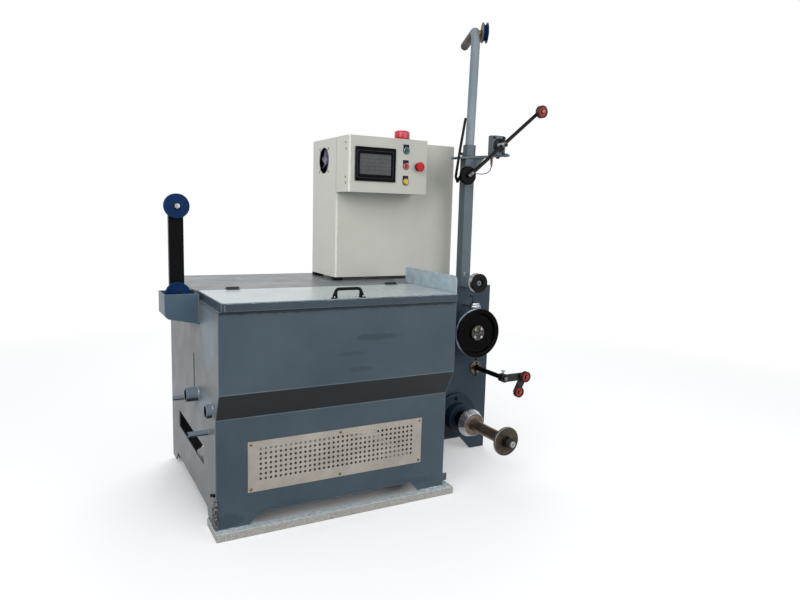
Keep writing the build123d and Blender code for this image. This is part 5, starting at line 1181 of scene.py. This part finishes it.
grille = {"middle": (0.0, 0.249), "size": (0.722, 0.19), "front": 0.0095, "back": 0.0115, "pitch": 0.019,
          "hole": 0.005, "count": (34, 7), "raise": 0.008, "sides": 12}


def makeGrille():
    # each cell goes from its square outline to the circle r (cos a, sin a), front and back, with a wall between
    columns, rows = grille["count"]
    sides, half = grille["sides"], grille["pitch"] / 2
    a = np.linspace(0, 2 * math.pi, sides, endpoint=False) + math.pi / sides
    circle = grille["hole"] * np.stack([np.cos(a), np.sin(a)], 1)
    stretch = np.maximum(np.abs(np.cos(a)), np.abs(np.sin(a)))
    square = half * np.stack([np.cos(a) / stretch, np.sin(a) / stretch], 1)
    square = np.where(np.abs(np.abs(square) - half) < half * 0.35, np.sign(square) * half, square)
    cx = (np.arange(columns) - (columns - 1) / 2) * grille["pitch"] + grille["middle"][0]
    cz = (np.arange(rows) - (rows - 1) / 2) * grille["pitch"] + grille["middle"][1] + grille["raise"]
    centres = np.stack(np.meshgrid(cx, cz, indexing="ij"), -1).reshape(-1, 1, 1, 2)
    rings = np.stack([square, circle, circle, square])[None] + centres
    depth = np.array([grille["front"], grille["front"], grille["back"], grille["back"]])
    depth = np.broadcast_to(depth[None, :, None], rings.shape[:3])
    points = np.stack([rings[..., 0], depth, rings[..., 1]], -1).reshape(-1, 3)
    one = np.array(gridFaces(4, sides))[: 3 * sides]
    faces = (one[None] + (np.arange(columns * rows) * 4 * sides)[:, None, None]).reshape(-1, 4)
    # the plain margin: a frame between the holes' block and the plate's edge, both faces and the outer wall
    wide, tall = columns * half, rows * half
    mx, mz = grille["middle"][0], grille["middle"][1]
    quarter = np.array([(-1, -1), (1, -1), (1, 1), (-1, 1)])
    inner = quarter * (wide, tall) + (mx, mz + grille["raise"])
    outer = quarter * np.array(grille["size"]) / 2 + (mx, mz)
    rim = [(inner, grille["front"]), (outer, grille["front"]), (outer, grille["back"]), (inner, grille["back"])]
    points = np.concatenate([points, *(np.insert(loop, 1, y, axis=1) for loop, y in rim)])
    rimFaces = np.array(gridFaces(4, 4)) + len(points) - 16
    sheet = meshObject("grilleSheet", points, faces.tolist() + rimFaces.tolist(), merge=2e-5, angle=30)
    standIn(sheet, "stainless", "grille_plate")


makeGrille()
corners = [(sx * 0.35, 0.249 + sz * 0.084) for sz in (-1, 1) for sx in (-1, 0, 1)]
turns = [0.9, 0.3, -0.5, -0.7, 0.2, 0.8]
place(joined("grilleScrews", [panHead((x, 0.0095, z), toFront, 0.0062, 0.003) for x, z in corners]), "brass",
    "brass")
# near-black bars for the screw slots: painted shade in the slots
place(joined("grilleScrewSlots", [
    slotBar((x, 0.0095, z), toFront, 0.0062, 0.003, t) for (x, z), t in zip(corners, turns)]), "holeShade", "brass")

# Lid handle: a bow with cut corners on two feet

handle = {"y": -0.0415, "top": 0.86, "half": 0.057, "grip": 0.046, "rise": 0.034, "foot": 0.008}


def makeHandle():
    # foot, slant and grip joined by quadratic corners, carrying an eight sided section
    h = handle
    line = [(-h["half"], 0.0), (-h["half"], h["foot"]), (-h["grip"], h["rise"]), (h["grip"], h["rise"]),
            (h["half"], h["foot"]), (h["half"], 0.0)]
    bow = softened(line, 0.01, steps=6)
    path = np.stack([bow[:, 0], np.full(len(bow), h["y"]), h["top"] + bow[:, 1]], 1)
    cut = np.array([(5.5, 2.6), (2.6, 5.5), (-2.6, 5.5), (-5.5, 2.6), (-5.5, -2.6), (-2.6, -5.5), (2.6, -5.5),
        (5.5, -2.6)])
    parts = [sweptBar("bow", path, cut / 1000, toBack)]
    for side in (-1, 1):
        parts.append(slab("pad", roundedLoop(0.022, 0.016, 0.005), (side * h["half"], h["y"], h["top"]), toRight,
                          toBack, 0.0035, 0.0012))
        web = [(side * x, z) for x, z in ((h["half"] + 0.002, 0.0), (h["half"] + 0.002, h["foot"]),
                                          (h["grip"], h["rise"]), (h["grip"] - 0.002, 0.0))]
        parts.append(facing("web", web[::-side], (0, h["y"] + 0.0045, h["top"]), 0.009, 0.0012))
    standIn(joined("lidHandleBow", parts), "plastic", "lid_handle", "black_plastic")
    place(joined("lidHandleScrews", [
        socketHead((side * h["half"], h["y"] - 0.0055, h["top"] + 0.006), toFront, 0.0028, 0.0012)
        for side in (-1, 1)]), "silver", "bright_steel", "lid")


makeHandle()

# Hinge screws

hingeScrews = [(x + dx, y, 0.862) for x in (-0.332, 0.366) for dx in (-0.017, 0.017) for y in (0.3065, 0.342)]
for name, body, rows in (("hingeLidScrews", "lid", [p for p in hingeScrews if p[1] < 0.3245]),
                         ("hingeDeckScrews", "machine", [p for p in hingeScrews if p[1] > 0.3245])):
    place(joined(name, [panHead(p, toTop, 0.0032, 0.0014) for p in rows]), "rollerRim", "bright_steel", body)

# Weld beads on the tank, tray, stubs and bracket


def loopAround(y, z, radius):
    # a ring just outside the left wall, round a pipe at this y and z
    return ringPath((-0.4752, y, z), toLeft, radius, 40)


stubWelds = [((0.3045, 0.46), 0.0275), ((0.0635, 0.46), 0.0255), ((0.1195, 0.364), 0.0105),
    ((0.5165, 0.391), 0.0105)]
place(joined("stubWelds", [
    weldBead(loopAround(y, z, r + 0.0016), 0.003 if r > 0.02 else 0.0018, 5 + k)
    for k, ((y, z), r) in enumerate(stubWelds)]), "weld", "bright_steel")
trayWelds = [
    [(-0.4765, 0.253, 0.853), (-0.4765, 0.253, 0.744)], [(-0.4765, 0.392, 0.853), (-0.4765, 0.392, 0.744)],
    [(-0.477, 0.256, 0.7415), (-0.477, 0.388, 0.7415)],
]
place(joined("trayWelds", [weldBead(p, 0.0026, 11 + k) for k, p in enumerate(trayWelds)]), "panelEdge",
    "blue_grey_paint")
seams = [
    [(0.8445, 0.396, 1.436), (0.8445, 0.396, 1.392)], [(0.846, 0.3962, 1.4395), (0.902, 0.3962, 1.4445)],
    [(0.795, 0.4035, 0.8315), (0.843, 0.4035, 0.8315)], [(0.7925, 0.4055, 0.8312), (0.7925, 0.4545, 0.8312)],
    [(0.8455, 0.4055, 0.8312), (0.8455, 0.4545, 0.8312)],
]
place(joined("mastWelds", [weldBead(p, 0.0024, 21 + k) for k, p in enumerate(seams)]
    + [weldBead(ringPath((0.8263, 0.4295, 1.4492), (0.0218, 0, 0.9998), 0.0312), 0.0024, 31)]), "mast",
    "blue_grey_paint")
footWelds = [[(-0.477, 0.014, 0.0315), (-0.477, 0.13, 0.0315)], [(0.477, 0.014, 0.0315), (0.477, 0.13, 0.0315)],
             [(-0.47, 0.01, 0.0315), (-0.36, 0.01, 0.0315)], [(0.36, 0.01, 0.0315), (0.47, 0.01, 0.0315)]]
place(joined("footWelds", [weldBead(p, 0.0022, 41 + k) for k, p in enumerate(footWelds)]), "weld", "galvanised")
place(joined("cornerWeld", [
    weldBead([(-0.4755, y, top), (-0.4755, y + 0.002, 0.036)], 0.0066, seed)
    for y, top, seed in ((0.01, 0.146, 51), (0.021, 0.132, 52), (0.032, 0.126, 53), (0.043, 0.112, 54))]),
    "sootWeld", "dark_steel")
place(joined("cornerNuts", [
    hexHead((-0.475, y, z), toLeft, 0.011, 0.008, 0.3) for y, z in ((0.028, 0.158), (0.066, 0.144))]),
    "blackPaint", "dark_steel")
bores = [((-0.521, 0.3045, 0.46), 0.0229), ((-0.498, 0.0635, 0.46), 0.0209), ((-0.547, 0.1195, 0.364), 0.0074),
         ((-0.532, 0.5165, 0.391), 0.0074)]
# near-black tubes set in the stubs' mouths: painted shade in the bores
place(joined("stubBores", [
    lathe("bore", spot, toRight, [
        (r - 0.0006, 0.0004), (r, 0.0004), (r, 0.03), (0.0004, 0.03), (0.0004, 0.0292), (r - 0.0006, 0.0292)], 0,
        40)
    for spot, r in bores]), "holeShade", "black_steel")
# a near-black strip over the wall's slot: painted shade in the slot
place(slab("slotShadow", roundedLoop(0.014, 0.142, 0.006), (-0.4754, 0.3665, 0.539), toBack, toTop, 0.0008,
    0.0001), "holeShade", "black_steel")

# Control box: screen, switches, blank legend plates, beacon, fan

panelY, panelLeft = 0.3935, 0.184
px, pz = 0.3125, 1.3795  # the screen's middle
standIn(joined("screenBezel", [
    facing("plate", roundedLoop(0.197, 0.147, 0.005), (px, panelY, pz), 0.0045, 0.0012),
    frameRing("raised", roundedLoop(0.17, 0.113, 0.006, (-0.002, -0.001)), roundedLoop(0.152, 0.0885, 0.003,
        (-0.0015, -0.0005)), (px, panelY - 0.004, pz), 0.0034, 0.0014),
    facing("body", roundedLoop(0.18, 0.13, 0.004), (px, panelY + 0.034, pz), 0.034, 0.001)]), "bezel",
    "touch_screen")
# lighter rings round the frame: painted highlights along its edges
place(joined("screenEdges", [
    frameRing("rim", roundedLoop(0.1968, 0.1468, 0.005), roundedLoop(0.1925, 0.1425, 0.003),
        (px, panelY - 0.0044, pz), 0.0016, 0.0005),
    frameRing("step", roundedLoop(0.176, 0.119, 0.007, (-0.002, -0.001)),
        roundedLoop(0.17, 0.113, 0.006, (-0.002, -0.001)), (px, panelY - 0.004, pz), 0.0026, 0.001)]),
    "bezelEdge", "screen_grey")
place(facing("screenGlass", roundedLoop(0.1524, 0.0889, 0.003), (px - 0.0015, panelY - 0.0042, pz - 0.0005),
    0.0011, 0.0003), "glass", "screen_grey")
buttons = {"green_button": (1.449, "green"), "red_button": (1.3805, "red"), "yellow_button": (1.312, "yellow")}
buttonX, stopX, stopZ = 0.465, 0.529, 1.3805


def collar(x, z, wide=0.0145):
    # a bezel ring: dark skirt, rolled bright edge, and a bore that the button slides in
    return lathe("collar", (x, panelY, z), toFront, [
        (0.0113, -0.024), (0.0125, -0.024), (0.0125, 0), (wide, 0), (wide, 0.0022), (wide - 0.001, 0.0044),
        (0.0128, 0.005), (0.0118, 0.0046), (0.0113, 0.0038)], 0.0004, 56)


standIn(joined("switchCollarRings", [collar(buttonX, z) for z, _ in buttons.values()] + [collar(stopX, stopZ)]),
    "silver", "switch_collars")
for node, (z, finish) in buttons.items():
    standIn(lathe(node + "Cap", (buttonX, panelY, z), toFront, mm([
        (0, -18), (11, -18), (11, 6.2), (10.4, 7.6), (8.5, 8), (7.8, 7.4), (0, 7.2)]), 0.0005, 56), finish, node)
plates = [facing("legend", roundedLoop(0.0285, 0.0245, 0.0015), (buttonX - 0.0015, panelY, z + 0.0145), 0.0012,
    0.0003) for z, _ in buttons.values()]
place(joined("legendPlates", plates), "legend", "black_plastic")
place(joined("switchGaskets", [
    lathe("gasket", (x, panelY, z), toFront, mm([(12.5, 0), (16.8, 0), (16.8, 1), (16, 1.6), (12.5, 1.6)]),
        0.0003, 48)
    for x, z in [(buttonX, z) for z, _ in buttons.values()]]), "rubber", "black_plastic")
standIn(lathe("stopMushroom", (stopX, panelY, stopZ), toFront, mm([
    (0, -14), (11, -14), (11, 14), (18.5, 14.2), (20.5, 16.2), (21, 18.5), (20.5, 21.5), (18, 24.6),
    (12.5, 25.8), (0, 26)]), 0.0012, 72), "red", "emergency_stop")
place(lathe("stopBase", (stopX, panelY, stopZ), toFront, mm([
    (12.6, 0), (18, 0), (18, 3), (16.5, 4.2), (12.6, 4.2)]), 0.0005, 56), "rubber", "black_plastic")

beaconSpot = bx, by, bz = 0.475, 0.4565, 1.499
standIn(lathe("beaconLensBody", beaconSpot, toTop, mm([
    (0, 2), (33.5, 2), (34.5, 12), (34, 33), (31.5, 39), (26, 42.4), (0, 44)]), 0.003, 144, wave=(0.006, 36)),
    "beacon", "warning_beacon")
place(lathe("beaconBase", beaconSpot, toTop, mm([(30, 0), (36, 0), (36, 7), (35, 9), (30, 9)]), 0.0008, 72),
    "beaconBase", "beacon_red")
place(joined("beaconBands", [
    lathe("band", (bx, by, bz + t), toTop, mm([(32.5, 0), (35, 0), (35, 1.2), (32.5, 1.2)]), 0.0003, 72)
    for t in (0.0225, 0.0345)]), "beaconBase", "beacon_red")

fan = {"x": 0.186, "y": 0.6735, "z": 1.403, "hub": 0.02, "tip": 0.053, "blades": 7}


def makeFan():
    # blade: p(s, t) = axis + r(s) at angle a0 + sweep s + chord(t), with depth pitch(s) t; a thin closed shell
    f = fan
    parts = [lathe("hub", (f["x"] + 0.004, f["y"], f["z"]), toRight, mm([(0, 0), (14.5, 0.2), (19, 1.6),
        (20, 3.5), (20, 24), (3.3, 24), (3.3, 8), (0, 8)]), 0.0012, 48)]
    s, t = np.meshgrid(np.linspace(0, 1, 9), np.linspace(-0.5, 0.5, 7), indexing="ij")
    radius = f["hub"] - 0.0015 + (f["tip"] - f["hub"] + 0.0015) * s
    for k in range(f["blades"]):
        angle = 2 * math.pi * k / f["blades"] + 0.55 * s + t * (0.78 - 0.18 * s)
        depth = f["x"] + 0.015 + t * (0.0155 - 0.004 * s) + 0.0022 * np.cos(math.pi * t)
        faces = []
        for skin in (-0.0006, 0.0006):
            faces.append(np.stack([depth + skin, f["y"] + radius * np.cos(angle), f["z"] + radius * np.sin(angle)],
                -1))
        rows = np.concatenate([faces[0], faces[1][:, ::-1]], 1)
        parts.append(meshObject("blade", rows, capped(9, 14)))
    standIn(joined("fanRotorBlades", parts), "fan", "fan_rotor")
    side = 0.0525
    heads = [(f["y"] + sy * side, f["z"] + sz * side) for sy in (-1, 1) for sz in (-1, 1)]
    place(joined("fanScrews", [panHead((panelLeft, y, z), toLeft, 0.004, 0.0018) for y, z in heads]),
        "rollerFace", "black_steel")
    place(joined("fanGuardTabs", [
        sweptBar("tab", [(panelLeft - 0.001, f["y"] + sy * a, f["z"] + sz * a) for a in (0.0395, 0.0445, 0.0505)],
            circleLoop(0.0013, 8), toRight)
        for sy in (-1, 1) for sz in (-1, 1)]), "rollerRim", "bright_steel")
    place(lathe("fanOpeningLip", (panelLeft, f["y"], f["z"]), toLeft, mm([
        (59.2, -2), (59.2, 0.4), (60.2, 0.4), (60.6, 0), (60.6, -1)]), 0.0002, 96), "cabinetEdge",
        "warm_grey_paint")


makeFan()
boxScrews = [(0.4225, 1.468), (0.419, 1.4415), (0.422, 1.3215), (0.419, 1.2965)]
place(joined("boxHingeScrews", [socketHead((panelLeft, y, z), toLeft, 0.0042, 0.0026) for y, z in boxScrews]
    + [
    sweptBar("tail", [(panelLeft - 0.001, y + 0.0015, z + 0.001), (panelLeft - 0.001, y + 0.0085, z + 0.006)],
        circleLoop(0.0012, 6), toRight)
    for y, z in boxScrews]), "seam", "silver_plastic")
place(sweptBar("cabinetSeams", [(panelLeft - 0.0002, 0.5275, z) for z in (1.262, 1.495)], circleLoop(0.0008, 6),
    toRight), "seam", "warm_grey_paint")
place(joined("cabinetFootPads", [
    lathe("pad", (x, y, 0.8602), toTop, mm([(0, 0), (24, 0), (24, 5), (20, 8), (16, 13.8), (0, 13.8)]), 0.001, 40)
    for x in (0.21, 0.779) for y in (0.5535, 0.7855)]), "rubber", "black_plastic")
print("pieces made:", made["pieces"])

# Floor

stage = {"size": 14.0, "sides": 96, "height": -0.0005, "clear": 1.9, "fade": 4.5, "paper": (0.93, 0.93, 0.93),
    "bounce": (0.22, 0.22, 0.23), "lift": 0.35, "middle": (0.0, 0.5, 0.0), "shade": (0.5, 0.47, 1.0)}


def makeFloor():
    # pale paper, part of it plain white light and all of it far away; its bounce on the machine is dim
    data = bpy.data.meshes.new("floor")
    rim = stage["size"] * circleLoop(1, stage["sides"])
    data.from_pydata(np.insert(rim, 2, stage["height"], axis=1).tolist(), [], [list(range(stage["sides"]))])
    floor = linked("floor", data)
    f = Finish("floorPaper", roughness=0.9, specular=0.1)
    setSockets(f.shader, {"Base Color": (*stage["paper"], 1)})
    dim, glow = f.add("ShaderNodeBsdfDiffuse"), f.add("ShaderNodeEmission")
    setSockets(dim, {"Color": (*stage["bounce"], 1)})
    near = f.between(f.reach(stage["middle"], stage["shade"]), 0.0, stage["lift"], 1.02, 1.3)
    fade = f.sum(near, f.between(f.reach((0, 0, 0)), 0.0, 1.0, stage["clear"], stage["fade"]), "MAXIMUM")
    shown = mixShaders(f.tree, fade, f.shader.outputs[0], glow.outputs[0])
    both = mixShaders(f.tree, seenRays(f.tree), dim.outputs[0], shown)
    f.feed(f.tree.nodes["Material Output"].inputs["Surface"], both)
    data.materials.append(f.material)


makeFloor()
